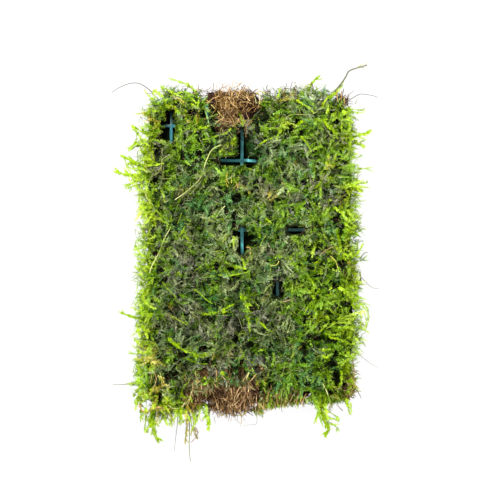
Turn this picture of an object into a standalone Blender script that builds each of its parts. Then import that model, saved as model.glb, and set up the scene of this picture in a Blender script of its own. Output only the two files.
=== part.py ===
"""A pad of aquarium moss: green shoots grown on and through a square plastic net, over a mat of old brown stems.

Lengths are in millimetres here and become metres where a mesh is made. X runs across the pad, Y along it and Z up.
The origin is the middle of the flat underside, which the pad rests on.
"""

import math
import random

import bmesh
import bpy
from mathutils import Matrix, Vector
from mathutils.bvhtree import BVHTree

MM = 0.001
GAP = 0.3  # kept between pieces that touch

# The mat of brown stems
MAT_TOP = 6.5
MAT_OUTLINE = [
    (-37, 58), (-19, 61), (-16, 64.5), (-6, 65), (2, 64.5), (5, 61), (33, 61), (36, 63.5), (40.5, 60),
    (38, 52), (38.5, 0), (39, -46), (43, -50), (43.5, -56), (40, -60), (24, -60), (20, -63), (2, -65.5),
    (-12, -65), (-20, -62.5), (-38, -60), (-40, -50), (-39.5, 0), (-38, 40),
]
# Where its stems rise above the net: centre x, y, then half sizes along x, y and z
MAT_RISES = [
    (-13.5, 61.5, 4.0, 3.6, 5.2), (-8.5, 58.0, 4.6, 5.4, 6.0), (-2.5, 61.0, 4.4, 4.2, 5.4), (-1.5, 55.5, 3.6, 3.4, 4.8),
    (-19.0, -60.0, 3.2, 4.2, 4.2), (-13.0, -60.0, 3.6, 5.2, 5.4), (-6.5, -60.5, 3.8, 5.6, 5.8),
    (0.0, -60.0, 3.6, 6.0, 6.0), (6.5, -60.0, 3.8, 4.6, 5.0), (13.5, -59.5, 4.2, 3.4, 4.2), (20.0, -60.0, 3.4, 2.8, 3.8),
    (40.6, -54.0, 2.8, 4.6, 4.8), (37.6, 60.6, 2.6, 2.6, 4.2),
]

# The net
NET_X = [-31.2 + 14.2 * i for i in range(5)]
NET_Y = [-47.0 + 13.88 * i for i in range(8)]
NET_ENDS_X = (-37.0, 35.5)
NET_ENDS_Y = (-57.0, 59.0)
STRAND_WIDTH = 1.3
NET_BOTTOM = MAT_TOP + 0.5
NET_TOP = NET_BOTTOM + 1.2

# The cushion of moss
CUSHION_OUTLINE = [
    (-38, 61), (-33, 65), (-26, 65.5), (-19.5, 64), (-18.5, 57.5), (-15, 52), (-8, 50.5), (0, 51), (4, 56),
    (5.5, 63), (12, 66), (20, 65.5), (28, 66), (34, 62), (38, 58), (40, 52), (41.5, 46), (41, 36), (42, 28), (42.5, 16),
    (42, 4), (42.8, -8), (43, -20), (43.6, -32), (42.8, -40), (40.5, -47), (37.5, -51), (36.5, -57), (30, -59),
    (24, -56.5), (17, -55.5), (8, -54), (0, -52.5), (-8, -52), (-16, -53), (-21.5, -56.5), (-24.5, -62.5),
    (-31, -65), (-38, -64), (-42, -61.5), (-44.5, -57), (-45.2, -48), (-44.8, -38), (-44.8, -28), (-44.4, -16),
    (-45, -5), (-43.6, 6), (-42.8, 16), (-44, 25), (-44.4, 33), (-42.4, 42), (-43.2, 49), (-42.5, 56),
]
SKIRT_BOTTOM = 1.4
RIM_TOP = 10.0
CORE_TOP = 13.0
CORE_INSET = 4.5
TUFT_PITCH = 8.6
TUFT_RADIUS = 5.4
TUFT_TOPS = (15.5, 20.5)  # lowest and highest tuft
EDGE_TUFT_PITCH = 5.2
EDGE_TUFT_RADIUS = 3.7
SOFT_STEP = 1.1  # grain of the surface that joins the tufts
CUSHION_TRIANGLES = 2150
# Gaps where the net shows: centre x, y and half sizes
NET_GAPS = [
    (-32.6, 49.6, 3.2, 6.6), (-2.8, 43.0, 2.7, 6.6), (-4.4, 36.2, 8.0, 2.2), (-1.8, 4.4, 3.8, 5.6),
    (18.6, 8.4, 3.8, 1.8), (11.2, -15.2, 1.9, 3.2),
]
GAP_SIDES = 10

# Leafy shoots past the cushion's edge: name, leaf span, and route from root to tip
EDGE_SHOOTS = [
    ("left_shoot_1", 2.4, [(-40, 47, 9), (-43, 48, 9.5), (-47, 50.2, 8.5)]),
    ("left_shoot_2", 2.2, [(-40, 43, 7), (-45, 42.6, 8), (-48.4, 40.2, 7)]),
    ("left_shoot_3", 2.6, [(-40, 33, 10), (-45, 35, 11), (-51.4, 38.4, 9)]),
    ("left_shoot_4", 2.6, [(-40, 30, 8), (-47, 30, 8.6), (-54.2, 31.8, 6.5)]),
    ("left_shoot_5", 2.4, [(-40, 29.5, 5), (-45, 28, 5.5), (-50, 25.6, 4)]),
    ("left_shoot_6", 2.4, [(-40, -27, 8), (-46, -26.6, 9), (-52.2, -24.4, 7.5)]),
    ("left_shoot_7", 2.0, [(-41, -42, 7), (-45, -42, 7.5), (-48.4, -41.2, 6.5)]),
    ("bottom_shoot_1", 2.4, [(-41, -60, 8), (-42, -65, 8), (-43.2, -69, 6)]),
    ("bottom_shoot_2", 2.4, [(-39.8, -60, 6), (-40.6, -67, 6), (-41.8, -73, 4)]),
    ("bottom_shoot_3", 2.6, [(-38, -60, 9), (-38, -67, 9), (-37.4, -73, 6.5), (-35, -77.6, 4)]),
    ("bottom_shoot_4", 2.2, [(-32.6, -60, 7), (-32, -66, 7), (-31, -70.6, 5)]),
    ("bottom_shoot_5", 1.8, [(-25.4, -60, 8), (-25.0, -68, 8), (-25.8, -78, 4)]),
    ("bottom_shoot_6", 1.8, [(-22.6, -66, 8), (-22.2, -70, 7.6), (-20.6, -75.8, 4)]),
    ("bottom_shoot_7", 2.0, [(-16.4, -67, 5), (-16.8, -69, 5), (-16.2, -72.4, 4)]),
    ("hanging_shoot", 2.4, [(29, -56, 7), (28.8, -63.5, 7), (30.4, -68, 6.4), (31.8, -71.8, 5.4), (30.4, -74.8, 4)]),
    ("hanging_side_shoot_1", 2.2, [(31.4, -64.6, 7), (33.6, -66, 6.8), (36.4, -67.8, 6)]),
    ("hanging_side_shoot_2", 2.0, [(33.4, -69.4, 6), (34.4, -70.6, 5.6), (36.2, -72.4, 5)]),
    ("hanging_side_shoot_3", 2.0, [(27.6, -64.4, 6.8), (27, -66.4, 6.4), (26, -69.4, 5.4)]),
    ("bottom_shoot_8", 2.4, [(38.6, -61.4, 6), (39.4, -63, 6), (40.6, -66, 5)]),
    ("right_shoot_1", 2.4, [(38, 56, 9), (42, 56.4, 9.4), (47, 56, 8)]),
    ("right_shoot_2", 2.2, [(38, 44.6, 9), (44, 46.2, 10), (49.4, 48.2, 8.5)]),
    ("right_shoot_3", 2.2, [(38, 42, 6), (43, 43, 7), (46.6, 42, 6)]),
    ("right_shoot_4", 1.8, [(40, 33, 8), (45, 33, 9), (49.8, 33.6, 8)]),
    ("right_shoot_5", 2.2, [(40, 27, 8), (44, 27.4, 8.6), (47.4, 27.6, 7.5)]),
    ("right_shoot_6", 2.2, [(40, -3, 9), (43.6, -0.4, 9.6), (46, 3, 8.5)]),
    ("right_shoot_7", 1.8, [(40, -5, 6), (44.6, -4, 6.6), (47.6, -1.8, 6)]),
    ("right_shoot_8", 1.8, [(40, -20, 8), (46.4, -22, 9), (47.8, -26.6, 7), (46.8, -32, 5)]),
    ("right_shoot_9", 1.8, [(41, -35, 6), (45, -36, 6), (46.8, -38.4, 4.6)]),
    ("top_shoot_1", 2.6, [(-20, 62.4, 11), (-23, 66, 11), (-27.6, 68, 10), (-32, 69.2, 9)]),
    ("top_shoot_2", 2.2, [(23.6, 62, 9), (25.6, 67.4, 9), (28.6, 70.4, 8)]),
]

# Leafy shoots that lie over the cushion: name, leaf span, and route in x and y
TOP_SHOOTS = [
    ("top_runner_1", 2.2, [(-20.4, -24.4), (-16.4, -25.2), (-11.6, -24), (-6, -21.2)]),
    ("top_runner_2", 2.2, [(-32.4, -34.4), (-29.2, -37.6), (-24.8, -40), (-19.6, -41.2), (-16, -40.4)]),
    ("top_runner_3", 2.4, [(-3.6, -16.8), (-1.2, -21.2), (-0.4, -26.8), (0.4, -32)]),
    ("top_runner_4", 2.2, [(34.4, 8.8), (36, 4), (36.8, 0), (39.6, -2)]),
    ("top_runner_5", 2.4, [(18.8, 50.4), (22.8, 52), (29.2, 52), (33.6, 48.4), (35.2, 45.2)]),
]

# Bare stems over the cushion: name, thickness, and route in x and y
TOP_STEMS = [
    ("bare_stem_1", 0.8, [(-11.2, 42.4), (-14.8, 40.4), (-17.2, 35.6), (-19.6, 28.8), (-25.2, 23.6), (-29.6, 20.4)]),
    ("bare_stem_2", 0.8, [(-31.2, 9.6), (-34, 4.4), (-36, -0.8), (-38.8, -6), (-39.6, -8.8)]),
]

# Thread-like bare stems past the edge: name, thickness, and route from root to tip
THREADS = [
    ("thread_top_left", 0.5, [(-38, 63, 9), (-45.6, 67.4, 10), (-50, 66, 10), (-54.8, 63.6, 9)]),
    ("thread_top_right", 0.6, [(31, 60, 10), (36.4, 66.4, 11), (38.8, 70, 12), (40.4, 72.4, 12), (47.2, 74.6, 11)]),
    ("thread_right_1", 0.5, [(38, 59, 8), (44, 62.6, 9), (47.6, 62.6, 9), (51.8, 61.6, 8)]),
    ("thread_right_2", 0.5, [(42, -7, 7), (48.4, -14, 8), (52.2, -15.2, 7)]),
    ("thread_right_3", 0.5, [(43, -40.6, 7), (48.4, -44.8, 7), (51.8, -46.8, 6)]),
    ("thread_left", 0.5, [(-43, -51.6, 8), (-49.6, -53.4, 8), (-54.6, -53.6, 7)]),
    ("thread_bottom_1", 0.5, [(-28.4, -60, 6), (-28.8, -70, 6), (-29.6, -76, 4.4), (-30, -80.4, 3)]),
    ("thread_bottom_2", 0.6, [(-23.8, -62, 4.6), (-24, -74, 4.4), (-24, -80, 3.4), (-23.6, -84.6, 2.6)]),
]

GREEN = (0.10, 0.19, 0.03)
BRIGHT_GREEN = (0.30, 0.45, 0.04)
BROWN = (0.20, 0.11, 0.05)
STRAW = (0.42, 0.42, 0.17)
NET_BLUE = (0.02, 0.16, 0.21)


def clear_scene():
    for old in list(bpy.data.objects):
        bpy.data.objects.remove(old, do_unlink=True)


def material(name, colour, roughness):
    made = bpy.data.materials.new(name)
    made.use_nodes = True
    shader = made.node_tree.nodes["Principled BSDF"]
    shader.inputs["Base Color"].default_value = (*colour, 1.0)
    shader.inputs["Roughness"].default_value = roughness
    shader.inputs["Metallic"].default_value = 0.0
    return made


def object_of(name, form, surface=None):
    """A linked object that holds the bmesh, which is in millimetres."""
    bmesh.ops.recalc_face_normals(form, faces=form.faces)
    form.transform(Matrix.Scale(MM, 4))
    mesh = bpy.data.meshes.new(name)
    form.to_mesh(mesh)
    form.free()
    made = bpy.data.objects.new(name, mesh)
    bpy.context.scene.collection.objects.link(made)
    if surface:
        mesh.materials.append(surface)
    return made


def as_helper(made):
    made.hide_render = True
    made.display_type = "WIRE"
    return made


def add_boolean(target, helper, operation):
    step = target.modifiers.new(helper.name, "BOOLEAN")
    step.operation = operation
    step.solver = "EXACT"
    step.use_self = operation == "UNION"
    step.object = helper


def evaluated_mesh(made):
    """The object's mesh with its modifiers worked in."""
    bpy.context.view_layer.update()
    return bpy.data.meshes.new_from_object(made.evaluated_get(bpy.context.evaluated_depsgraph_get()))


def grown(outline, distance):
    """The closed outline moved outwards by a distance, each corner along its mitre."""
    points = [Vector(point) for point in outline]
    area = sum(a.x * b.y - b.x * a.y for a, b in zip(points, points[1:] + points[:1]))
    outward = 1.0 if area > 0 else -1.0
    moved = []
    for index, point in enumerate(points):
        before = (point - points[index - 1]).normalized()
        after = (points[(index + 1) % len(points)] - point).normalized()
        sides = [Vector((edge.y, -edge.x)) * outward for edge in (before, after)]
        mitre = (sides[0] + sides[1]).normalized()
        moved.append(point + mitre * distance / max(0.5, mitre.dot(sides[0])))
    return moved


def add_prism(form, outline, bottom, top):
    corners = [form.verts.new((point[0], point[1], bottom)) for point in outline]
    base = form.faces.new(corners)
    lifted = bmesh.ops.extrude_face_region(form, geom=[base])["geom"]
    bmesh.ops.translate(
        form, vec=(0, 0, top - bottom), verts=[item for item in lifted if isinstance(item, bmesh.types.BMVert)]
    )


def add_lump(form, centre, half_sizes, segments=6, rings=4, turn=0.0):
    place = Matrix.Translation(centre) @ Matrix.Rotation(turn, 4, "Z") @ Matrix.Diagonal((*half_sizes, 1.0))
    bmesh.ops.create_uvsphere(form, u_segments=segments, v_segments=rings, radius=1.0, matrix=place)


def mat_shape(name, grow, surface=None):
    """The mat of brown stems, grown on every side by a distance: zero for the mat, a gap for its pocket."""
    slab = bmesh.new()
    add_prism(slab, grown(MAT_OUTLINE, grow), 0.0 if grow == 0 else -GAP - 1, MAT_TOP + grow)
    mat = object_of(name, slab, surface)
    rises = bmesh.new()
    for index, (x, y, wide, long, high) in enumerate(MAT_RISES):
        half = (wide + grow, long + grow, high + grow)
        add_lump(rises, (x, y, MAT_TOP), half, segments=8, turn=0.3 * index)
    add_boolean(mat, as_helper(object_of(name + "_rises", rises)), "UNION")
    return mat


def net_shape(name, grow, surface=None):
    """The net as one piece: the cells of a plan that a strand covers, raised to the net's thickness."""
    half = STRAND_WIDTH / 2 + grow
    columns = sorted([NET_ENDS_X[0] - grow, NET_ENDS_X[1] + grow] + [x + side for x in NET_X for side in (-half, half)])
    rows = sorted([NET_ENDS_Y[0] - grow, NET_ENDS_Y[1] + grow] + [y + side for y in NET_Y for side in (-half, half)])
    form = bmesh.new()
    bottom = NET_BOTTOM - grow
    corners = {}
    faces = []
    for i in range(len(columns) - 1):
        for j in range(len(rows) - 1):
            if i % 2 == 0 and j % 2 == 0:
                continue
            cell = [(i, j), (i + 1, j), (i + 1, j + 1), (i, j + 1)]
            for key in cell:
                if key not in corners:
                    corners[key] = form.verts.new((columns[key[0]], rows[key[1]], bottom))
            faces.append(form.faces.new([corners[key] for key in cell]))
    lifted = bmesh.ops.extrude_face_region(form, geom=faces)["geom"]
    raised = [item for item in lifted if isinstance(item, bmesh.types.BMVert)]
    bmesh.ops.translate(form, vec=(0, 0, NET_TOP + grow - bottom), verts=raised)
    return object_of(name, form, surface)


def inside(outline, x, y):
    """Whether a point is inside a closed outline."""
    found = False
    for (ax, ay), (bx, by) in zip(outline, outline[1:] + outline[:1]):
        if (ay > y) != (by > y) and x < ax + (bx - ax) * (y - ay) / (by - ay):
            found = not found
    return found


def along(outline, pitch):
    """Points every pitch along a closed outline."""
    found = []
    carry = 0.0
    for start, end in zip(outline, outline[1:] + outline[:1]):
        a, b = Vector(start), Vector(end)
        length = (b - a).length
        while carry < length:
            found.append(a.lerp(b, carry / length))
            carry += pitch
        carry -= length
    return found


def cushion_shape(surface):
    """Tufts over a core and a rim, joined in one soft surface and thinned to few triangles."""
    rng = random.Random(11)
    form = bmesh.new()
    rim = grown(CUSHION_OUTLINE, -1.6)
    core = [tuple(point) for point in grown(CUSHION_OUTLINE, -CORE_INSET)]
    add_prism(form, rim, SKIRT_BOTTOM + 0.8, RIM_TOP)
    add_prism(form, core, SKIRT_BOTTOM + 0.8, CORE_TOP)
    for point in along([tuple(point) for point in grown(CUSHION_OUTLINE, -EDGE_TUFT_RADIUS * 0.8)], EDGE_TUFT_PITCH):
        radius = EDGE_TUFT_RADIUS * rng.uniform(0.85, 1.15)
        height = rng.uniform(7.5, 10.0)
        half = (radius, radius, height - SKIRT_BOTTOM if height - radius * 1.6 < SKIRT_BOTTOM else radius * 1.6)
        add_lump(form, (point.x, point.y, height), half, segments=12, rings=8)
    rows = int(140 / (TUFT_PITCH * 0.866))
    for row in range(rows):
        for column in range(14):
            x = -54 + TUFT_PITCH * (column + 0.5 * (row % 2)) + rng.uniform(-1.6, 1.6)
            y = -70 + TUFT_PITCH * 0.866 * row + rng.uniform(-1.6, 1.6)
            if not inside(core, x, y):
                continue
            radius = TUFT_RADIUS * rng.uniform(0.85, 1.15)
            top = rng.uniform(*TUFT_TOPS)
            add_lump(form, (x, y, top - radius), (radius, radius, radius), segments=12, rings=8)
    joined = object_of("tufts", form)
    soft = joined.modifiers.new("soft", "REMESH")
    soft.mode = "VOXEL"
    soft.voxel_size = SOFT_STEP * MM
    dense = evaluated_mesh(joined)
    thin = joined.modifiers.new("thin", "DECIMATE")
    thin.ratio = CUSHION_TRIANGLES / (2 * len(dense.polygons))
    bpy.data.meshes.remove(dense)
    cushion = bpy.data.objects.new("moss_cushion", evaluated_mesh(joined))
    bpy.data.objects.remove(joined, do_unlink=True)
    bpy.context.scene.collection.objects.link(cushion)
    cushion.data.materials.append(surface)
    return cushion


def gap_cutters():
    """Shafts with uneven sides, through the cushion down to the mat, where the net shows."""
    rng = random.Random(5)
    cutters = []
    for x, y, wide, long in NET_GAPS:
        outline = []
        for side in range(GAP_SIDES):
            turn = 2 * math.pi * side / GAP_SIDES
            reach = rng.uniform(0.88, 1.12)
            outline.append((x + wide * reach * math.cos(turn), y + long * reach * math.sin(turn)))
        form = bmesh.new()
        add_prism(form, outline, MAT_TOP - 0.5, 2 * TUFT_TOPS[1])
        cutters.append(as_helper(object_of("net_gap", form)))
    return cutters


def smooth_route(points, step):
    """Points about every step along a curve through the route's own points."""
    route = [Vector(point) for point in points]
    ends = [route[0] * 2 - route[1]] + route + [route[-1] * 2 - route[-2]]
    found = []
    for a, b, c, d in zip(ends, ends[1:], ends[2:], ends[3:]):
        count = max(2, round((c - b).length / step))
        for index in range(count):
            t = index / count
            found.append(
                0.5 * ((2 * b) + (c - a) * t + (2 * a - 5 * b + 4 * c - d) * t * t + (3 * b - a - 3 * c + d) * t ** 3)
            )
    found.append(route[-1])
    return found


def distance_to(trees, point):
    """Distance in millimetres from a point to the nearest surface of the pad."""
    return min(tree.find_nearest(point * MM)[3] for tree in trees) / MM


def outside_part(route, trees, radius):
    """The stretch of a route, tip included, that keeps a gap to the pad."""
    kept = []
    for point in reversed(route):
        if distance_to(trees, point) < radius + GAP:
            break
        kept.append(point)
    return list(reversed(kept))


def over_cushion(route, trees, radius):
    """A plan route laid on the cushion's top, as near to it as the gap allows."""
    laid = []
    around = [(0.0, 0.0)] + [(math.cos(turn) * radius, math.sin(turn) * radius) for turn in range(6)]
    for point in route:
        heights = []
        for dx, dy in around:
            for tree in trees:
                hit = tree.ray_cast(Vector((point.x + dx, point.y + dy, 60)) * MM, Vector((0, 0, -1)))[0]
                heights.append(hit.z / MM if hit else MAT_TOP)
        laid.append(Vector((point.x, point.y, max(heights) + GAP + 0.5)))
    smooth = []
    for index in range(len(laid)):
        near = laid[max(0, index - 2) : index + 3]
        smooth.append(Vector((laid[index].x, laid[index].y, max(point.z for point in near))))
    return smooth


def leafy_shoot(name, span, route, trees, surface):
    """A flattened shoot with a raised midline and leaves as teeth along both edges, closed at root and tip."""
    form = bmesh.new()
    rings = []
    last = len(route) - 1
    for index, point in enumerate(route):
        ahead = (route[min(index + 1, last)] - route[max(index - 1, 0)]).normalized()
        side = ahead.cross(Vector((0, 0, 1))).normalized()
        up = side.cross(ahead)
        share = index / last
        full = span / 2 * math.sin(math.pi * (0.18 + 0.72 * share)) ** 0.6
        tooth = full if index % 2 else 0.45 * full
        half = max(0.25, min(tooth, distance_to(trees, point) - GAP))
        forward = ahead * (0.5 * half if index % 2 else 0.0)
        thick = 0.35 + 0.1 * (1 - share)
        if index == last:
            rings.append([form.verts.new(point)])
            continue
        corners = [point - side * half + forward, point + up * thick, point + side * half + forward, point - up * thick]
        rings.append([form.verts.new(corner) for corner in corners])
    form.faces.new(rings[0])
    for near, far in zip(rings, rings[1:]):
        for k in range(4):
            if len(far) == 1:
                form.faces.new([near[k], near[(k + 1) % 4], far[0]])
            else:
                form.faces.new([near[k], near[(k + 1) % 4], far[(k + 1) % 4], far[k]])
    object_of(name, form, surface)


def bare_stem(name, thickness, route, surface):
    """A round stem, as a curve with a bevel and closed ends."""
    curve = bpy.data.curves.new(name, "CURVE")
    curve.dimensions = "3D"
    curve.bevel_depth = thickness / 2 * MM
    curve.bevel_resolution = 1
    curve.use_fill_caps = True
    line = curve.splines.new("POLY")
    line.points.add(len(route) - 1)
    for knot, point in zip(line.points, route):
        knot.co = (*(point * MM), 1.0)
    curve.materials.append(surface)
    made = bpy.data.objects.new(name, curve)
    bpy.context.scene.collection.objects.link(made)


def build():
    clear_scene()
    green = material("moss_green", GREEN, 0.6)
    bright = material("young_moss", BRIGHT_GREEN, 0.5)
    brown = material("old_stems", BROWN, 0.8)
    straw = material("dry_stems", STRAW, 0.7)
    blue = material("net_plastic", NET_BLUE, 0.35)

    mat = mat_shape("brown_stem_mat", 0.0, brown)
    net = net_shape("plastic_net", 0.0, blue)
    net_room = as_helper(net_shape("net_room", GAP))
    add_boolean(mat, net_room, "DIFFERENCE")

    cushion = cushion_shape(green)
    add_boolean(cushion, as_helper(mat_shape("mat_room", GAP)), "DIFFERENCE")
    add_boolean(cushion, net_room, "DIFFERENCE")
    for cutter in gap_cutters():
        add_boolean(cushion, cutter, "DIFFERENCE")

    bpy.context.view_layer.update()
    graph = bpy.context.evaluated_depsgraph_get()
    trees = [BVHTree.FromObject(piece, graph) for piece in (cushion, mat, net)]
    for name, span, points in EDGE_SHOOTS:
        leafy_shoot(name, span, outside_part(smooth_route(points, 1.2), trees, 0.45), trees, bright)
    for name, span, points in TOP_SHOOTS:
        route = over_cushion(smooth_route([(x, y, 0) for x, y in points], 1.5), trees, span / 2)
        leafy_shoot(name, span, route, trees, bright)
    for name, thickness, points in TOP_STEMS:
        route = over_cushion(smooth_route([(x, y, 0) for x, y in points], 2.4), trees, thickness)
        bare_stem(name, thickness, route, straw)
    for name, thickness, points in THREADS:
        route = outside_part(smooth_route(points, 0.8), trees, thickness / 2)
        bare_stem(name, thickness, route[::-3], brown)


build()
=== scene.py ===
"""The looks of a pad of aquarium moss: leafy shoots, bare stems, a plastic net and a mat of brown stems.

Lengths are in millimetres and become metres where a mesh is made. X runs across the pad, Y along it, Z up.
Every shoot is a Bezier stem with rows of folded leaves. Its colour is read from a palette by its UV map, so one
material serves all the moss: U picks the kind of growth by its column, and the tint by the place within the column,
and V is how light it is.
"""

import math

import bmesh
import bpy
import numpy as np
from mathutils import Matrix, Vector
from mathutils.bvhtree import BVHTree


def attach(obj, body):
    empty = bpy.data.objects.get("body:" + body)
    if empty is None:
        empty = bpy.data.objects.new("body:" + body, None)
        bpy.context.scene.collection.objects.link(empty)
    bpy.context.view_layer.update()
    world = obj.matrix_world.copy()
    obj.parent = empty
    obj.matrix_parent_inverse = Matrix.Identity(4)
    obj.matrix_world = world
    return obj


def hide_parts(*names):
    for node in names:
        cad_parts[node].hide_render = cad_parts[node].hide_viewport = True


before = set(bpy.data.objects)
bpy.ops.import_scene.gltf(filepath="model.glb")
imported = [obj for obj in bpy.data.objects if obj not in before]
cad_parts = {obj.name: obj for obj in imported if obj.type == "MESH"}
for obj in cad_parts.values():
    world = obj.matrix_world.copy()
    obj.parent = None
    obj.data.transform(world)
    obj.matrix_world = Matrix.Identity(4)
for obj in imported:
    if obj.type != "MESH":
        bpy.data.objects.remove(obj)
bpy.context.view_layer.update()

MM = 0.001
UP = np.array([0.0, 0.0, 1.0])
LEVEL = [1, 1, 0]
PALETTE_MAP = "OFBake"
WETNESS = 0.015

# The photograph's frame: 500 pixels across, 0.4 mm each on the moss, its centre a little off the origin
PIXELS = 500
PIXEL_SIZE = 0.4
VIEW_CENTRE = (0.4, 0.4)
CAMERA_HEIGHT = 2000.0
FOCUS_HEIGHT = 14.0
CAMERA_REACH = 10000.0

# The floor glows, so that it is as white as a light table
FLOOR_HALF_SIZE = 1500.0
FLOOR_SHADE = 0.055
FLOOR_GLOW = 0.93
SKY_LIGHT = 0.7
# Soft lamps: name, place, diameter and power in watts
LAMPS = [("key", (-260, 300, 620), 260, 14.0), ("fill", (420, -200, 500), 400, 4.0)]

# The pad, and the height at which routes run on past its edge
PAD_HALF_WIDTH = 42.0
PAD_HALF_LENGTH = 64.0
EDGE_HEIGHT = 9.5
# Nothing reaches lower than this
LOWEST = 0.05
# Fine stems past this in x are all green, and up to this in y the cores' tops take the moss's painted deep shade
GREEN_SIDES = 38
SHADED_HALF_LENGTH = 52.0
# The pad's two ends, where the fringe is thin, and its underside, where no shoots grow
END_DEPTH = 6
END_DENSITY = 0.22
UNDERSIDE_TOP = 1.2
FACING_DOWN = -0.3
# The bottom edge: its left corner, thick with growth, and the right one, where the mat shows
LEFT_CORNER_END = -16
LEFT_CORNER_DEPTH = 8
LEFT_CORNER_DENSITY = 3.0
RIGHT_CORNER_START = 38
RIGHT_CORNER_TOP = -40
# The rim's growth there: how deep it is, how deep its outer part is, and the stretch in x that brown stems take up
RIM_DEPTH = 10
OUTER_RIM_DEPTH = 3
RIM_GAP = (-20, 5)

# How far growth on the sides is drawn in, so that its tips and not its roots make the outline
LEFT_INSET = 3.1
RIGHT_INSET = 1.1
TOP_INSET = 4.0
BOTTOM_INSET = 0.6
FRINGE_RELEASE = 0.9
FELT_INSET = 1.3
CURLY_INSET = 2.8
# How far growth moves up the pad at the bottom edge: where in x it begins, is full, is still full and ends, and
# where in y it begins and is full
RIM_INSET = 2.6
RIM_INSET_STRETCH = (2, 8, 20, 26)
RIM_INSET_BAND = (-54, -62)
# Shoots of the fringe that reach higher than this would lie over the top, and are left out
FRINGE_TOP = 20.0
# Where the growth ends shorter still: centre x, y, reach in x and y, and millimetres
NOTCHES = [(-44, 46, 7, 7, 1.5), (45, -55, 8, 10, 2.4)]
# The cores' shares of what the solids have past CORE_REACH, to the left, right, top and bottom
CORE_REACH = (36.0, 36.0, 56.0, 50.0)
CUSHION_SHARES = (0.56, 0.76, 0.50, 0.90)
MAT_SHARES = (0.40, 0.40, 0.75, 0.72)
CORE_ROUGHNESS = 0.25
CORE_EDGE = 2.0

# The palette's columns: each kind of growth, from dark to half light to light
BARK, RUST, OCHRE, STRAW, TAN, DUSK, OLIVE, TEAL, GREEN, LIME = range(10)
PALETTE = {
    BARK: [(0.006, 0.003, 0.002), (0.074, 0.036, 0.022), (0.24, 0.14, 0.085)],
    RUST: [(0.030, 0.014, 0.002), (0.31, 0.185, 0.055), (0.66, 0.48, 0.24)],
    OCHRE: [(0.020, 0.016, 0.001), (0.27, 0.25, 0.022), (0.64, 0.60, 0.20)],
    STRAW: [(0.020, 0.020, 0.004), (0.26, 0.29, 0.070), (0.68, 0.68, 0.34)],
    TAN: [(0.026, 0.012, 0.004), (0.25, 0.158, 0.060), (0.60, 0.47, 0.25)],
    DUSK: [(0.006, 0.006, 0.004), (0.110, 0.114, 0.074), (0.35, 0.37, 0.25)],
    OLIVE: [(0.004, 0.008, 0.0006), (0.120, 0.156, 0.054), (0.36, 0.44, 0.21)],
    TEAL: [(0.002, 0.014, 0.001), (0.046, 0.124, 0.030), (0.19, 0.35, 0.11)],
    GREEN: [(0.006, 0.030, 0.0002), (0.096, 0.192, 0.003), (0.27, 0.43, 0.06)],
    LIME: [(0.018, 0.055, 0.0002), (0.228, 0.36, 0.002), (0.44, 0.57, 0.09)],
}
PALETTE_STOPS = (0.0, 0.5, 1.0)

# The tint across each column, from cool to warm, how far warmth goes in it, and a leaf's sides from its middle
TINT = [(0.1, (0.80, 0.99, 1.00)), (0.5, (1.0, 1.0, 1.0)), (0.9, (1.0, 0.86, 0.74))]
TINT_REACH = 0.35
SIDE_TINT = 0.012

# The cores' colours over their noise, the moss's core a painted deep shade, and the net's across the net, paler to
# the right as painted light
CORE_SHADE_COLOURS = [(0.35, (0.002, 0.004, 0.001)), (0.65, (0.012, 0.020, 0.004))]
BROWN_FELT = [(0.3, (0.008, 0.004, 0.004)), (0.7, (0.035, 0.016, 0.014))]
NET_PLASTIC_PAINTED_LIGHT = [(0.15, (0.022, 0.15, 0.17)), (0.42, (0.07, 0.46, 0.48)), (0.62, (0.30, 0.98, 0.96))]
NET_ALGAE = (0.06, 0.13, 0.075, 1.0)
ALGAE_PATCHES = [(0.54, (0, 0, 0)), (0.74, (1, 1, 1))]
NET_ROUNDING = 0.36

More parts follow.
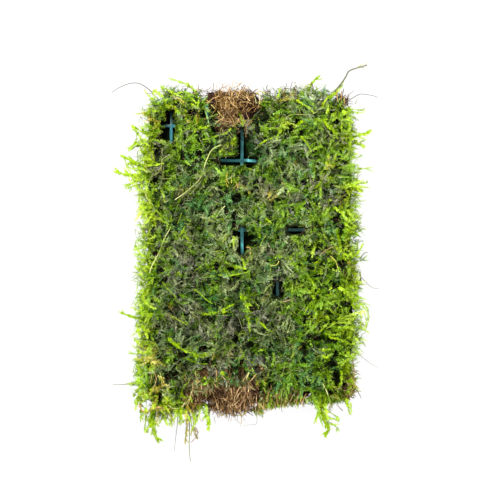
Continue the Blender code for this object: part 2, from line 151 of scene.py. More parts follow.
# Patches of the cushion's top where a kind grows more: centre x, y, reach in x and y, and weight
KIND_PATCHES = {
    LIME: [
        (-34, 60, 8, 5, 1.0), (-38, -56, 8, 9, 1.0), (30, -27, 12, 12, 0.7), (26, 50, 12, 7, 0.35),
        (33, 15, 7, 22, 0.5), (38, 55, 4, 4, 1.4), (42, 24, 4, 5, 0.9), (-9, 46, 7, 4, 0.5), (-22, -42, 9, 4, 0.4),
        (14, -26, 7, 3, 0.4), (-32, 16, 4, 12, 0.25), (-24, 48, 8, 5, 0.4), (35, -52, 5, 8, 0.7),
        (-29, -62, 13, 5, 1.2), (-32, 34, 5, 7, 0.5), (34, -8, 6, 12, 0.5), (24, -56, 8, 4, 0.5),
        (-36, 48, 7, 9, 0.6), (41, -48, 4, 8, 1.0),
    ],
    GREEN: [
        (34, -28, 13, 26, 0.9), (32, 44, 14, 9, 0.6), (-26, 46, 10, 12, 0.7), (18, -50, 12, 7, 0.7),
        (16, 22, 9, 8, 0.6), (-8, 30, 8, 6, 0.5), (16, -12, 8, 8, 0.5), (-32, 12, 6, 12, 0.35),
        (-22.4, 52.8, 3, 2.5, 1.2), (-27, 37, 5, 5, 0.9), (8, 51, 9, 4, 0.5), (-10, -8, 8, 8, 0.4),
        (32, 8, 8, 14, 0.5),
    ],
    OLIVE: [
        (-24, -4, 15, 11, 1.0), (-26, -33, 16, 8, 0.9), (-12, 14, 14, 12, 0.7), (8, -8, 8, 9, 1.0),
        (2, -36, 8, 7, 0.7), (-20, 44, 9, 5, 0.6), (16, 60, 13, 5, 0.6), (14, 41, 7, 5, 0.9), (26, 58, 8, 5, 0.6),
        (-28, -50, 6, 6, 0.8), (12, 22, 13, 10, 0.7), (-10, -48, 14, 5, 0.8), (16, -42, 6, 5, 0.5),
    ],
    TEAL: [
        (-3, 37, 9, 7, 1.0), (22, -46, 9, 7, 0.9), (-20, 22, 8, 7, 0.8), (-1, 4, 8, 8, 0.7), (4, -34, 7, 5, 0.6),
        (18, 6, 7, 6, 0.5), (-14, -18, 9, 7, 0.5), (24, 35, 5, 5, 0.4), (26, -48, 4, 5, 1.5),
    ],
    OCHRE: [
        (-36, 56, 8, 8, 0.8), (-38, -50, 6, 10, 0.8), (40, -54, 6, 6, 0.9), (14, -60, 16, 3, 0.9),
        (-10, 54, 12, 3, 0.5), (14, 61, 12, 4, 0.7), (-30, -59, 10, 4, 0.5), (14, 40, 8, 6, 0.25),
        (-44, 2, 4, 4, 0.4),
    ],
    DUSK: [
        (10, -10, 6, 9, 1.0), (-12, -46, 16, 5, 0.9), (-4, 52, 6, 5, 0.7), (2, -42, 6, 4, 0.7), (-30, -4, 5, 4, 0.7),
        (30, 0, 5, 8, 0.4), (2, -27, 8, 6, 0.9), (-36, 38, 3, 6, 0.7), (-22, 36, 4, 4, 0.5), (24, -40, 4, 2, 0.8),
        (-25, -28, 8, 8, 0.9), (20, 20, 5, 4, 0.5), (-25, -8, 6, 8, 0.7), (-8, -30, 7, 5, 0.7), (-26, 18, 6, 6, 0.3),
        (2, 38, 6, 8, 0.5), (-31, 4, 8, 8, 0.5), (0, 30, 6, 7, 0.5), (29, 28, 6, 9, 0.5), (-25, 45.5, 4, 4, 1.0),
        (-28, 54, 3, 3, 0.8),
    ],
}
# Where the growth is darker and lighter, and where old brown stems stand free of the green
DARK_PATCHES = [
    (-34, 50, 4, 8, 1.0), (-3, 42, 5, 7, 1.0), (28, -36, 6, 3, 0.9), (35, -49, 3, 6, 0.9), (-1, 4, 4, 5, 0.7),
    (11, -15, 3, 5, 0.8), (6, 54, 4, 3, 1.0), (-21, 36, 3, 4, 0.6), (-37, 28, 2, 3, 0.7), (-13, 49, 4, 2, 0.4),
    (-26, 20, 9, 9, 0.45), (-24, -18, 7, 14, 0.4), (-1, -25, 8, 9, 0.55), (-16, -34, 9, 5, 0.35), (6, -52, 8, 4, 0.4),
    (-31, 19, 5, 5, 0.4), (-24, 11, 5, 4, 0.3), (-24, -37, 5, 4, 0.3), (-12, -47, 13, 6, 0.4), (-24, -58, 9, 6, 0.4),
    (-24, -61, 4, 3, 0.8), (27, -23, 7, 5, 0.6), (1, -5, 7, 3, 0.25), (-6, -17, 6, 8, 0.35), (9, -38, 6, 4, 0.3),
]
LIGHT_PATCHES = [
    (10, 32, 15, 9, 0.7), (18, 8, 12, 10, 0.9), (20, 52, 12, 8, 0.1), (-8, 0, 9, 8, 0.65), (10, 58, 12, 4, 0.9),
    (-33, 54, 6, 8, 1.0), (-6, 14, 8, 8, 0.2), (-12, 51, 6, 4, 0.7), (16, -20, 8, 6, 0.7), (16, -3, 8, 6, 0.6),
    (27, 32, 9, 9, 0.7), (-24, 41, 7, 7, 1.0), (20, -46, 8, 5, 0.6), (8, 17, 6, 6, 0.6), (34, 58, 6, 6, 0.8),
    (-10, 36, 8, 5, 0.4), (16, 35, 7, 6, 0.8), (30, 40, 13, 22, 0.35), (41, -50, 3, 9, 0.9), (9, -21, 5, 4, 0.9),
    (0, -45, 5, 4, 0.6), (-8, -45, 4, 4, 0.6), (-8, -13, 3, 4, 0.4), (-8, -29, 3, 4, 0.4), (40, -37, 4, 3, 1.0),
    (40, 11, 3, 3, 0.6), (33, -61, 4, 2, 1.3), (16, 11, 6, 5, 1.3), (16, -13, 6, 6, 0.8), (-20, 35, 7, 5, 0.5),
    (-3, 3, 6, 5, 0.4), (-29, -63, 14, 4, 1.0), (-38, 46, 5, 6, 0.7), (-31, 50, 4, 5, 0.5), (24, 35, 5, 4, 0.6),
    (10, 43, 5, 4, 0.5), (-8, -46, 5, 4, 0.5),
]
BROWN_PATCHES = [
    (-6.9, 61.6, 5.4, 2.5, 1.3), (-8.2, 56.6, 2.6, 3.0, 1.1), (-7.8, -61.0, 7.1, 4.4, 1.4), (14, -61.6, 12, 1.4, 0.7),
]
# Where the growth is yellower, and greener for a negative weight
WARM_PATCHES = [
    (-42, 10, 9, 60, 0.15), (26, 58, 16, 8, 0.4), (-30, 56, 12, 8, 0.3), (-32, -62, 14, 7, 0.6), (40, -56, 6, 8, 0.6),
    (4, 30, 14, 8, 0.2), (8, -56, 14, 4, 0.5), (20, -44, 10, 8, -0.5), (36, -24, 8, 16, 0.2), (-14, 2, 12, 8, 0.2),
]
# How much likelier a kind gets where the growth turns warm
WARM_GAIN = {TAN: 0.6, OCHRE: 0.6, DUSK: 0.2, TEAL: -0.6, GREEN: -0.2}

# An opening in the bottom left corner's growth that shows the ground: centre and half sizes
GROUND_GAP = (-40.6, -61.6, 2.1, 2.0)

# Stretches of the net that no leaf covers, in openings that widen upwards from NET_TOP: centre x, y and half sizes
NET_TOP = 11.0
UNDER_NET = 6.0
NET_FLARE = 0.09
NET_WINDOWS = [
    (-31.6, 50.0, 1.1, 5.8), (-2.8, 43.4, 0.9, 5.8), (-4.6, 36.2, 7.6, 1.1), (-2.6, 4.4, 0.9, 5.2),
    (18.4, 8.4, 3.3, 1.3), (11.4, -15.4, 1.6, 2.9),
]
# Holes among the leaves, HOLE_DEPTH deep: centre x, y and half sizes
HOLE_DEPTH = 3.2
HOLES = [
    (-32.9, 55, 0.6, 1.3), (-34, 51, 1.8, 0.9), (-34, 48.5, 1.8, 0.5), (-34, 46, 1.6, 1.4), (-36.5, 39, 1.4, 1.8),
    (-37.5, 28, 1.2, 1.4), (-18, 54.5, 2, 1.4), (-13, 48.5, 2.4, 1.4), (1.5, 57, 1.8, 2.8), (5.5, 54, 2.3, 2.5),
    (3, 51.5, 0.9, 1.8), (3.5, 48.5, 0.8, 2), (-4, 46.5, 0.8, 2.4), (-1, 45, 1.2, 1.6), (-1, 39.5, 0.8, 1),
    (-9, 35, 3.6, 0.6), (0, 34.5, 1.4, 1.2), (-11, 22.5, 0.8, 1.2), (-5, 21, 1.8, 2.2), (-6, 14, 1, 1.6),
    (-6, 11, 0.8, 1.2), (-9, 15.5, 1, 1.2), (3, 27.5, 1.2, 0.7), (1, 5.5, 1.6, 1.2), (1, 3, 2, 1), (-5, 7, 1.6, 1.2),
    (-4, 0, 1.1, 1.2), (-7.5, -7, 1.8, 0.8), (-13, -6, 0.8, 1.6), (-5, -11, 1.2, 0.7), (13, -15, 1.1, 2.6),
    (10.5, -15.5, 0.6, 2.2), (1.5, -23, 0.9, 1.4), (0.5, -37.5, 1.8, 1.6), (-5.5, -35, 1.2, 1.4),
    (-18.5, -39, 1.6, 1.2), (-29.5, -50, 1.4, 1.2), (-27, -41.5, 2.4, 1.2), (-32.5, -50, 1.2, 2.4),
    (-25, -57, 2, 0.5), (-35.5, -58.5, 0.8, 2), (-37.5, -1, 1.2, 0.8), (-35, -7.5, 1.8, 0.8), (-20, 38.5, 1.2, 1.6),
    (-26.5, 37.5, 0.7, 1.6), (-21, 36, 1, 0.8), (-23, 55, 2.4, 0.8), (22, 27, 1.4, 0.8), (19.5, 51.5, 1.2, 1),
    (17, 49, 0.8, 1.2), (21, 47, 0.8, 1), (31, 49, 0.8, 1), (35, 51.5, 1.2, 1), (38.5, 35.5, 1.3, 0.9),
    (35, 12.5, 2, 1.6), (37, 10, 1.6, 1), (37, -5, 1.6, 1.4), (34, -14, 1, 1.4), (27.5, -18, 0.6, 1.4),
    (41, -24, 1.2, 1), (39, -21, 1.6, 1), (22, -27.5, 0.6, 1.6), (33, -35.5, 3.2, 1.4), (27, -35, 1.8, 1),
    (23.5, -34.5, 1, 1.2), (21.5, -38.5, 1.2, 1.6), (34.5, -41, 1, 1.6), (33, -45, 2, 1.3), (35, -51, 1.2, 3.6),
    (38.5, -54, 1, 1.2), (32.5, -56.5, 1, 1.2), (23, -57.5, 1.6, 1.6), (8.5, -54, 0.8, 1.2), (1, -53, 1.4, 1.6),
    (-3, -44.5, 0.8, 1.2), (-3.5, -49, 1, 2), (-18, -48.5, 1.6, 2), (-7, -55, 1, 1.2), (-6, -59, 1.2, 1.6),
    (-5, -61.5, 1, 1.6), (-11, -60, 1.2, 1.2), (-19.5, -59, 1, 1.2),
]
# How far the core's top is pressed down in a hole, where that ends in shares of the hole's reach, squared, how high
# the top starts, and the longest edge left in a dent
CORE_DENT = 3.6
DENT_RIM = (0.6, 1.8)
CORE_TOP_START = 9
DENT_EDGE = 0.8
# How deep dead bits lie under the cushion's top, by the net and in the holes
LITTER_DEPTH = 1.5
HOLE_LITTER_DEPTH = 4.0

# Leafy shoots past the edge: CAD node, leaf span, and route from root to tip
EDGE_SHOOTS = {
    "left_shoot_1": (2.4, (-40, 47, 9), (-43, 48, 9.5), (-47, 50.2, 8.5)),
    "left_shoot_2": (2.2, (-40, 43, 7), (-45, 42.6, 8), (-48.4, 40.2, 7)),
    "left_shoot_3": (2.6, (-40, 33, 10), (-45, 35, 11), (-51.4, 38.4, 9)),
    "left_shoot_4": (2.6, (-40, 30, 8), (-47, 30, 8.6), (-54.2, 31.8, 6.5)),
    "left_shoot_5": (2.4, (-40, 29.5, 5), (-45, 28, 5.5), (-50, 25.6, 4)),
    "left_shoot_6": (2.4, (-40, -27, 8), (-46, -26.6, 9), (-52.2, -24.4, 7.5)),
    "left_shoot_7": (2.0, (-41, -42, 7), (-45, -42, 7.5), (-48.4, -41.2, 6.5)),
    "bottom_shoot_1": (2.4, (-41, -60, 8), (-42, -65, 8), (-43.2, -69, 6)),
    "bottom_shoot_2": (2.4, (-39.8, -60, 6), (-40.6, -67, 6), (-41.8, -73, 4)),
    "bottom_shoot_3": (2.6, (-38, -60, 9), (-38, -67, 9), (-37.6, -73, 6.5), (-36, -77.2, 4)),
    "bottom_shoot_4": (2.2, (-32.6, -60, 7), (-32, -66, 7), (-31, -70.6, 5)),
    "bottom_shoot_5": (1.8, (-25.4, -60, 8), (-25.0, -68, 8), (-25.8, -78, 4)),
    "bottom_shoot_6": (1.8, (-22.6, -62, 8), (-22.2, -70, 7.6), (-20.6, -75.8, 4)),
    "bottom_shoot_7": (2.0, (-17.0, -61, 5), (-16.8, -67, 5), (-16.2, -72.4, 4)),
    "hanging_shoot": (2.4, (29, -56, 7), (28.8, -63.5, 7), (30.4, -68, 6.4), (31.8, -71.8, 5.4), (30.4, -74.8, 4)),
    "hanging_side_shoot_1": (2.2, (29.0, -63.6, 7), (33.6, -66, 6.8), (36.4, -67.8, 6)),
    "hanging_side_shoot_2": (2.0, (31.0, -68.6, 6.2), (34.0, -70.2, 5.6), (36.2, -72.4, 5)),
    "hanging_side_shoot_3": (2.0, (28.8, -63.0, 7), (27, -66.4, 6.4), (26, -69.4, 5.4)),
    "bottom_shoot_8": (2.4, (37.4, -56, 6), (39.4, -62, 6), (40.6, -66, 5)),
    "right_shoot_1": (1.9, (38, 56, 9), (42, 56.4, 9.4), (47, 56, 8)),
    "right_shoot_2": (2.2, (38, 44.6, 9), (44, 46.2, 10), (49.4, 48.2, 8.5)),
    "right_shoot_3": (2.2, (38, 42, 6), (43, 43, 7), (46.6, 42, 6)),
    "right_shoot_4": (1.8, (40, 33, 8), (45, 33, 9), (49.8, 33.6, 8)),
    "right_shoot_5": (2.2, (40, 27, 8), (44, 27.4, 8.6), (47.4, 27.6, 7.5)),
    "right_shoot_6": (2.2, (40, -3, 9), (43.6, -0.4, 9.6), (46, 3, 8.5)),
    "right_shoot_7": (1.8, (40, -5, 6), (44.6, -4, 6.6), (47.6, -1.8, 6)),
    "right_shoot_8": (1.8, (40, -20, 8), (46.4, -22, 9), (47.8, -26.6, 7), (46.8, -32, 5)),
    "right_shoot_9": (1.8, (41, -35, 6), (45, -36, 6), (46.8, -38.4, 4.6)),
    "top_shoot_1": (2.6, (-20, 62.4, 11), (-23, 66, 11), (-27.6, 68, 10), (-32, 69.2, 9)),
    "top_shoot_2": (2.2, (23.6, 62, 9), (25.6, 67.4, 9), (28.6, 70.4, 8)),
}
# Fronds of several strands, and shoots gone brown
STRANDS = {
    "hanging_shoot": 5, "hanging_side_shoot_1": 2, "bottom_shoot_2": 2, "bottom_shoot_3": 3, "left_shoot_1": 2,
    "left_shoot_2": 2, "left_shoot_3": 3, "left_shoot_4": 3, "left_shoot_5": 3, "left_shoot_6": 2,
    "bottom_shoot_5": 2, "bottom_shoot_6": 2, "top_shoot_2": 3, "right_shoot_2": 2, "right_shoot_3": 3,
}
BROWN_SHOOTS = ("bottom_shoot_5", "bottom_shoot_6")

# Leafy shoots over the top: CAD node, leaf span, and route in x and y
TOP_SHOOTS = {
    "top_runner_1": (2.2, (-20.4, -24.4), (-16.4, -25.2), (-11.6, -24), (-6, -21.2)),
    "top_runner_2": (2.2, (-32.4, -34.4), (-29.2, -37.6), (-24.8, -40), (-19.6, -41.2), (-16, -40.4)),
    "top_runner_3": (2.4, (-3.6, -16.8), (-1.2, -21.2), (-0.4, -26.8), (0.4, -32)),
    "top_runner_4": (2.2, (34.4, 8.8), (36, 4), (36.8, 0), (39.6, -2)),
    "top_runner_5": (2.4, (18.8, 50.4), (22.8, 52), (29.2, 52), (33.6, 48.4), (35.2, 45.2)),
}
# Bare stems over the top: CAD node, thickness, and route in x and y
TOP_STEMS = {
    "bare_stem_1": (0.42, (-11.2, 42.4), (-14.8, 40.4), (-17.2, 35.6), (-19.6, 28.8), (-25.2, 23.6), (-29.6, 20.4)),
    "bare_stem_2": (0.42, (-31.2, 9.6), (-34, 4.4), (-36, -0.8), (-38.8, -6), (-39.6, -8.8)),
}
# Thread-like bare stems past the edge: CAD node, thickness, kind, lightness, and route from root to tip
THREADS = {
    "thread_top_left": (0.32, DUSK, 0.24, (-38, 63, 9), (-42.4, 66.4, 10), (-46, 67.4, 10), (-50.4, 66.2, 10),
        (-54.8, 63.6, 9)),
    "thread_top_right": (0.78, DUSK, 0.46, (31, 60, 10), (36.4, 66.4, 11), (38.8, 70, 12), (40.4, 72.4, 12),
        (47.2, 74.6, 11)),
    "thread_right_1": (0.3, DUSK, 0.26, (38, 59, 8), (44, 62.6, 9), (47.6, 62.6, 9), (51.8, 61.6, 8)),
    "thread_right_2": (0.3, DUSK, 0.6, (42, -7, 7), (48.4, -14, 8), (52.2, -15.2, 7)),
    "thread_right_3": (0.2, DUSK, 0.6, (43, -40.6, 7), (48.4, -44.8, 7), (51.8, -46.8, 6)),
    "thread_left": (0.36, DUSK, 0.5, (-43, -51.6, 8), (-49.6, -53.4, 8), (-54.6, -53.6, 7)),
    "thread_bottom_1": (0.26, DUSK, 0.4, (-28.4, -60, 6), (-28.8, -70, 6), (-29.6, -76, 4.4), (-30, -80.4, 3)),
    "thread_bottom_2": (0.4, OLIVE, 0.4, (-23.8, -62, 4.6), (-24, -74, 4.4), (-24, -80, 3.4), (-23.6, -84.6, 2.6)),
}

# Leafy sprigs that stand out: kind, lightness, leaf span, and route in x and y from root to tip
SPRIGS = [
    (LIME, 0.46, 1.7, (-38, -62), (-39, -65), (-40.5, -67.5)),
    (LIME, 0.48, 1.7, (-35, -62.5), (-34.5, -66), (-36, -69)),
    (OCHRE, 0.5, 1.5, (-31, -62.5), (-31.5, -66), (-30, -68.5)),
    (LIME, 0.5, 1.7, (-27, -62.5), (-27.5, -66.5), (-26, -69)),
    (LIME, 0.52, 1.5, (-23, -62), (-21.5, -65), (-22, -68)),
    (GREEN, 0.6, 1.7, (-19, -61.5), (-18, -64.5), (-16.5, -67)),
    (LIME, 0.46, 1.6, (-33, -62), (-32.5, -64.5), (-33.5, -67)),
    (LIME, 0.48, 1.6, (-29, -62), (-28.5, -64.5), (-28, -66.5)),
    (LIME, 0.56, 2.2, (-41, -61), (-41.5, -64.5), (-43, -66.5)),
    (OCHRE, 0.6, 2.0, (-37, -62), (-36.5, -66), (-37.5, -69.5)),
    (LIME, 0.58, 2.2, (-33.5, -62), (-34, -66), (-32.5, -70)), (LIME, 0.6, 2.0, (-30, -62), (-29, -65), (-30.5, -68)),
    (LIME, 0.56, 2.2, (-27.5, -61.5), (-27, -65), (-28, -69.5)),
    (OCHRE, 0.62, 2.0, (-24.5, -62), (-25.5, -65.5), (-24.5, -69)),
    (LIME, 0.58, 2.2, (-20.5, -61), (-20, -65), (-21.5, -69)),
    (LIME, 0.6, 1.9, (-17.5, -61), (-17, -65), (-18.5, -67.5)),
    (LIME, 0.6, 2.2, (-16.6, -66), (-16.2, -69), (-16.4, -72)),
    (LIME, 0.5, 1.8, (-22.5, -64), (-21.5, -68), (-23, -72)),
    (LIME, 0.5, 1.2, (-39.5, 56.5), (-41, 55.5), (-44, 55), (-45.5, 55)),
    (LIME, 0.6, 1.7, (-47, 50.5), (-46, 49), (-44.5, 47), (-43, 45), (-41, 44.5)),
    (LIME, 0.5, 1.2, (-45, 48), (-45, 45), (-46.5, 42.5), (-48, 40.5)),
    (LIME, 0.58, 1.9, (-46.5, 43), (-44, 43), (-42, 43.5), (-40, 42)),
    (LIME, 0.62, 1.5, (-35.5, 66), (-32.5, 64.5), (-29, 62.5), (-26.5, 61.5)),
    (LIME, 0.55, 1.8, (-38.5, 64.5), (-35.5, 62.5), (-33, 60)), (LIME, 0.6, 1.6, (-25, 62.5), (-23, 61), (-21, 59)),
    (OCHRE, 0.6, 1.4, (-31.5, 62), (-28.5, 61), (-25, 59)), (LIME, 0.65, 1.3, (-37, 65), (-38.5, 63), (-37, 60.5)),
    (LIME, 0.6, 1.4, (-38, 60), (-40.5, 62.5), (-42, 64.5)),
    (LIME, 0.55, 1.5, (-29, 63), (-26, 63.5), (-23, 62.5), (-19.5, 61)),
    (LIME, 0.6, 1.6, (-23, 59), (-21, 57), (-20, 60.5)), (TEAL, 0.9, 2, (-29, 56), (-27.5, 54.5), (-27, 52.5)),
    (LIME, 0.62, 1.6, (-22, 47.5), (-19.5, 49), (-17, 49)),
    (LIME, 0.62, 1.1, (-51, 38.5), (-49.5, 36), (-49, 33.5), (-47.5, 31.5), (-48, 29), (-47, 27), (-44.5, 24.5),
        (-42, 23.5)),
    (LIME, 0.6, 1.5, (-49.5, 34.5), (-47, 35), (-44.5, 35), (-41.5, 36.5), (-39, 36.5)),
    (LIME, 0.6, 1.3, (-48, 36), (-46.5, 33.5), (-44, 31), (-41.5, 29), (-40, 27)),
    (LIME, 0.58, 1.3, (-49, 34), (-47, 33), (-44, 33), (-41, 32)),
    (LIME, 0.62, 1.2, (-45, 29), (-45, 26), (-43, 24), (-41, 25), (-41, 28)),
    (LIME, 0.66, 1, (-47, 30), (-46, 27), (-44.5, 25)),
    (LIME, 0.56, 1.5, (-43, 35), (-39.5, 34), (-36.5, 34.5), (-34, 35)),
    (LIME, 0.6, 1.4, (-44.5, 32.5), (-42.5, 30), (-41, 27.5), (-41.5, 24.5)),
    (LIME, 0.64, 1.6, (-35, 25.5), (-34.5, 23), (-33.5, 19.5)),
    (LIME, 0.68, 1.2, (-44, 24), (-44, 21), (-43.5, 17.5), (-43, 15)),
    (LIME, 0.62, 1.6, (-43, 17), (-40, 17.5), (-37, 16), (-35, 14)),
    (LIME, 0.6, 1.6, (-42, 14), (-39.5, 15), (-37, 13.5)), (LIME, 0.6, 1.6, (-42.5, 11.5), (-39.5, 12), (-36.5, 13)),
    (LIME, 0.62, 1.4, (-35.5, 13.5), (-34, 11.5), (-31.5, 12), (-31, 14)),
    (TEAL, 0.75, 1.6, (-17, 17), (-17, 13.5), (-17, 10), (-17, 6)),
    (LIME, 0.6, 1.6, (-46, 2.5), (-44.5, 0.5), (-42.5, -2)), (LIME, 0.64, 1.5, (-46.5, 0.5), (-44, 1), (-41, 1.5)),
    (LIME, 0.6, 1.5, (-45, -3), (-42.5, -3.5), (-40.5, -5)), (LIME, 0.64, 1.8, (-46, -6), (-44, -7.5), (-42.5, -9.5)),
    (LIME, 0.62, 1.6, (-45, -4.5), (-43, -6), (-41, -8.5)),
    (LIME, 0.62, 1.7, (-42, -15), (-42.5, -18.5), (-41, -21), (-39, -22.5), (-37, -23)),
    (LIME, 0.58, 1.5, (-45.5, -19), (-44, -17), (-42.5, -15)),
    (LIME, 0.58, 1.4, (-44, -20.5), (-43, -23), (-43, -25.5)),
    (LIME, 0.55, 1.3, (-34.5, -12.5), (-33, -14.5), (-31, -16.5), (-29, -18.5)),
    (LIME, 0.55, 1.1, (-22.5, -15), (-19.5, -17), (-17, -19.5), (-14.5, -21)),
    (LIME, 0.6, 1.8, (-45, -28.5), (-44.5, -31.5), (-43.5, -34.5)),
    (LIME, 0.62, 1.8, (-43, -29), (-41.5, -32), (-40.5, -35)),
    (LIME, 0.6, 1.8, (-46, -35), (-44.5, -37), (-42.5, -38.5)),
    (LIME, 0.6, 1.6, (-45, -39.5), (-42.5, -41), (-40.5, -40.5)),
    (LIME, 0.54, 1.2, (-25.5, -42.5), (-22.5, -44), (-19.5, -45), (-16.5, -45)),
    (LIME, 0.6, 1.8, (-46.5, -58.5), (-45, -56), (-43, -53.5)),
    (LIME, 0.6, 1.8, (-42, -57), (-44.5, -58.5), (-46, -61)),
    (LIME, 0.58, 2.0, (-43.5, -58.5), (-45, -61), (-45.5, -64)),
    (LIME, 0.62, 1.8, (-44.5, -57), (-41.5, -58), (-38.5, -59)),
    (LIME, 0.6, 1.5, (-45, -50), (-43.5, -52.5), (-41.5, -54)),
    (LIME, 0.56, 1.4, (-45, -46), (-43.5, -48.5), (-42, -51)),
    (LIME, 0.6, 1.2, (-49, -53.5), (-46.5, -53), (-43.5, -53)),
    (RUST, 0.45, 1.3, (-44, -61), (-43, -63.5), (-41, -64.5), (-38.5, -63), (-35.5, -62.5), (-32.5, -63), (-29, -63)),
    (OCHRE, 0.6, 1.4, (-39.5, -62.5), (-36.5, -63.5), (-33, -63)),
    (GREEN, 0.5, 2.2, (-38.5, -63.5), (-38.5, -67), (-38, -70)),
    (LIME, 0.62, 1.3, (-38.5, -70), (-40.5, -71), (-42, -73)),
    (LIME, 0.6, 1.3, (-35.5, -64.5), (-33.5, -66), (-32, -67.5), (-31, -70.5)),
    (LIME, 0.6, 1.2, (-32.5, -64), (-31, -66.5), (-30, -69)),
    (GREEN, 0.68, 1.8, (-32, -60.5), (-29, -60), (-26, -61)),
    (LIME, 0.62, 1.8, (-26, -63.5), (-24.5, -66), (-23, -69)),
    (LIME, 0.64, 1.6, (-24.5, -63), (-22.5, -65.5), (-21.5, -68.5)),
    (BARK, 0.75, 0.9, (-21.5, -70.5), (-20.5, -73), (-22, -75.5), (-23.5, -77)),
    (LIME, 0.66, 1.2, (-7, 49), (-9.5, 47), (-13, 46), (-15.5, 45), (-18.5, 44.5)),
    (LIME, 0.66, 1.8, (13, 49), (12, 47), (11, 44.5)), (LIME, 0.6, 1.6, (-3.8, 56), (-3, 53), (-2.4, 49.8)),
    (LIME, 0.58, 1.2, (3.5, 42), (6.5, 44), (9, 45), (11.5, 46)), (LIME, 0.58, 1.6, (11.5, 61), (12.5, 65)),
    (OCHRE, 0.52, 1.6, (-3.5, 26), (-1, 25), (0.5, 23)), (LIME, 0.64, 1.6, (5, 15), (7, 13), (9, 11)),
    (LIME, 0.66, 1.5, (-3, -2.5), (-2, -5), (-1.5, -7.5)), (LIME, 0.68, 1.6, (0, -2.5), (-1, -5), (-2.5, -7.5)),
    (LIME, 0.66, 1.1, (-12.5, -9.5), (-9, -10), (-6, -9.5), (-3, -9), (-1, -8.5), (1, -7.5)),
    (LIME, 0.62, 1.8, (-3.5, -16.5), (-2.5, -19), (-1.5, -21), (-1, -24)),
    (LIME, 0.58, 1.6, (2.5, -27), (5, -29), (7, -31), (8, -32)),
    (OLIVE, 0.76, 1.4, (1.5, -31), (4.5, -33), (7, -33.5), (9, -33)),
    (GREEN, 0.74, 1.8, (16.5, -4.5), (18.5, -6.5), (20, -9)),
    (LIME, 0.66, 1.8, (-21.5, -41.5), (-19, -42), (-16.5, -41), (-14, -40.5)),
    (LIME, 0.64, 2, (-11.5, -48), (-9.5, -50), (-8, -51.5)),
    (LIME, 0.58, 1.6, (-3.5, -41.5), (-1, -43), (1, -44.5), (3.5, -45.5)),
    (GREEN, 0.74, 1.8, (9.5, -40.5), (10, -43), (9, -46)),
    (OCHRE, 0.6, 1, (-11.5, -66), (-8.5, -65), (-5, -66), (-2.5, -65.5), (-0.5, -64)),
    (LIME, 0.66, 1.8, (30.5, 61), (33, 62.5), (35, 64.5), (38, 68)),
    (LIME, 0.62, 1.8, (32, 61), (35, 63.5), (37.5, 66.5)),
    (GREEN, 0.56, 2, (20.5, 63), (23, 61), (25, 59), (27, 56.5)), (OLIVE, 0.62, 2, (21, 64.5), (24, 63), (26, 60.5)),
    (LIME, 0.66, 1.4, (19, 60.5), (21, 59), (23.5, 57.5), (26, 55)),
    (LIME, 0.6, 1.4, (30, 51.5), (31.5, 49.5), (33.5, 48), (35.5, 45)),
    (LIME, 0.66, 2, (31, 59), (31.5, 57), (31, 55)), (LIME, 0.72, 2.2, (37, 56), (39, 55), (41, 56.5)),
    (LIME, 0.7, 1.8, (39, 54), (40.5, 52), (41, 54.5)),
    (LIME, 0.68, 1.3, (37.5, 53), (37, 49.5), (37.5, 46.5), (37.5, 43)),
    (LIME, 0.66, 1.8, (39, 52.5), (40.5, 49.5), (39.5, 47)), (GREEN, 0.72, 2, (37.5, 48.5), (40, 47), (42.5, 48)),
    (LIME, 0.64, 1.8, (40.5, 44.5), (40.5, 41.5), (41.5, 40)), (LIME, 0.62, 1.3, (41, 56), (43.5, 55.5), (46, 55.5)),
    (LIME, 0.66, 1.5, (41.5, 48.5), (44, 47), (46, 46.5), (48, 47), (49, 48)),
    (LIME, 0.68, 1.9, (42, 44), (44, 43), (46.5, 41.5)), (LIME, 0.62, 1.4, (41, 37.5), (43.5, 37.5), (45.5, 38.5)),
    (GREEN, 0.68, 1.8, (32.5, 40.5), (35.5, 39), (39, 37.5), (41.5, 37)),
    (LIME, 0.62, 1.2, (20.5, 46), (22.5, 44), (24, 41.5), (25, 39.5)),
    (LIME, 0.68, 1.5, (32, 38.5), (31, 35.5), (30, 32.5)), (TEAL, 0.76, 2, (24.5, 36), (24.5, 33), (24.5, 31)),
    (GREEN, 0.74, 2, (19, 18), (21.5, 17), (24, 15.5)), (LIME, 0.74, 2, (37, 16), (38.5, 13), (41, 11), (43, 9.5)),
    (LIME, 0.72, 1.8, (39, 16.5), (41, 14), (42.5, 11.5)), (LIME, 0.7, 1.6, (38, 11.5), (40, 9.5), (42, 9)),
    (LIME, 0.74, 2, (41, 26), (43, 25), (45.5, 24)), (LIME, 0.64, 1.2, (42.5, 29), (45, 27.5), (47, 27)),
    (LIME, 0.72, 1, (43.5, 35), (44, 32), (43, 29)), (LIME, 0.72, 1, (43, 22), (44.5, 20), (47, 20.5)),
    (LIME, 0.64, 1.2, (42.5, 6.5), (45, 8.5), (47, 9)),
    (LIME, 0.68, 1.6, (41, -2.5), (43.5, -1), (45, 1.5), (45.5, 3)),
    (LIME, 0.66, 1.4, (40, -1), (42.5, -2.5), (44.5, -2)), (OCHRE, 0.64, 1.8, (39.5, -4), (41, -6), (43, -7)),
    (LIME, 0.72, 2.2, (42.5, -13.5), (43, -17), (43.5, -19.5)), (LIME, 0.72, 2.2, (41.5, -19), (43, -21), (44, -23)),
    (LIME, 0.7, 1.8, (40.5, -15.5), (42, -18.5)),
    (LIME, 0.64, 2.2, (35.5, -14.5), (37.5, -15.5), (39.5, -17), (41, -19)),
    (LIME, 0.66, 1.2, (28.5, -22), (31, -21), (34, -20), (37, -19.5)),
    (LIME, 0.64, 1.6, (23, -9.5), (25, -12), (27, -15)), (LIME, 0.62, 1.6, (35, -27), (38.5, -27), (42, -27.5)),
    (LIME, 0.66, 1.6, (35.5, -30.5), (39, -30.5), (43, -30.5), (45, -31)),
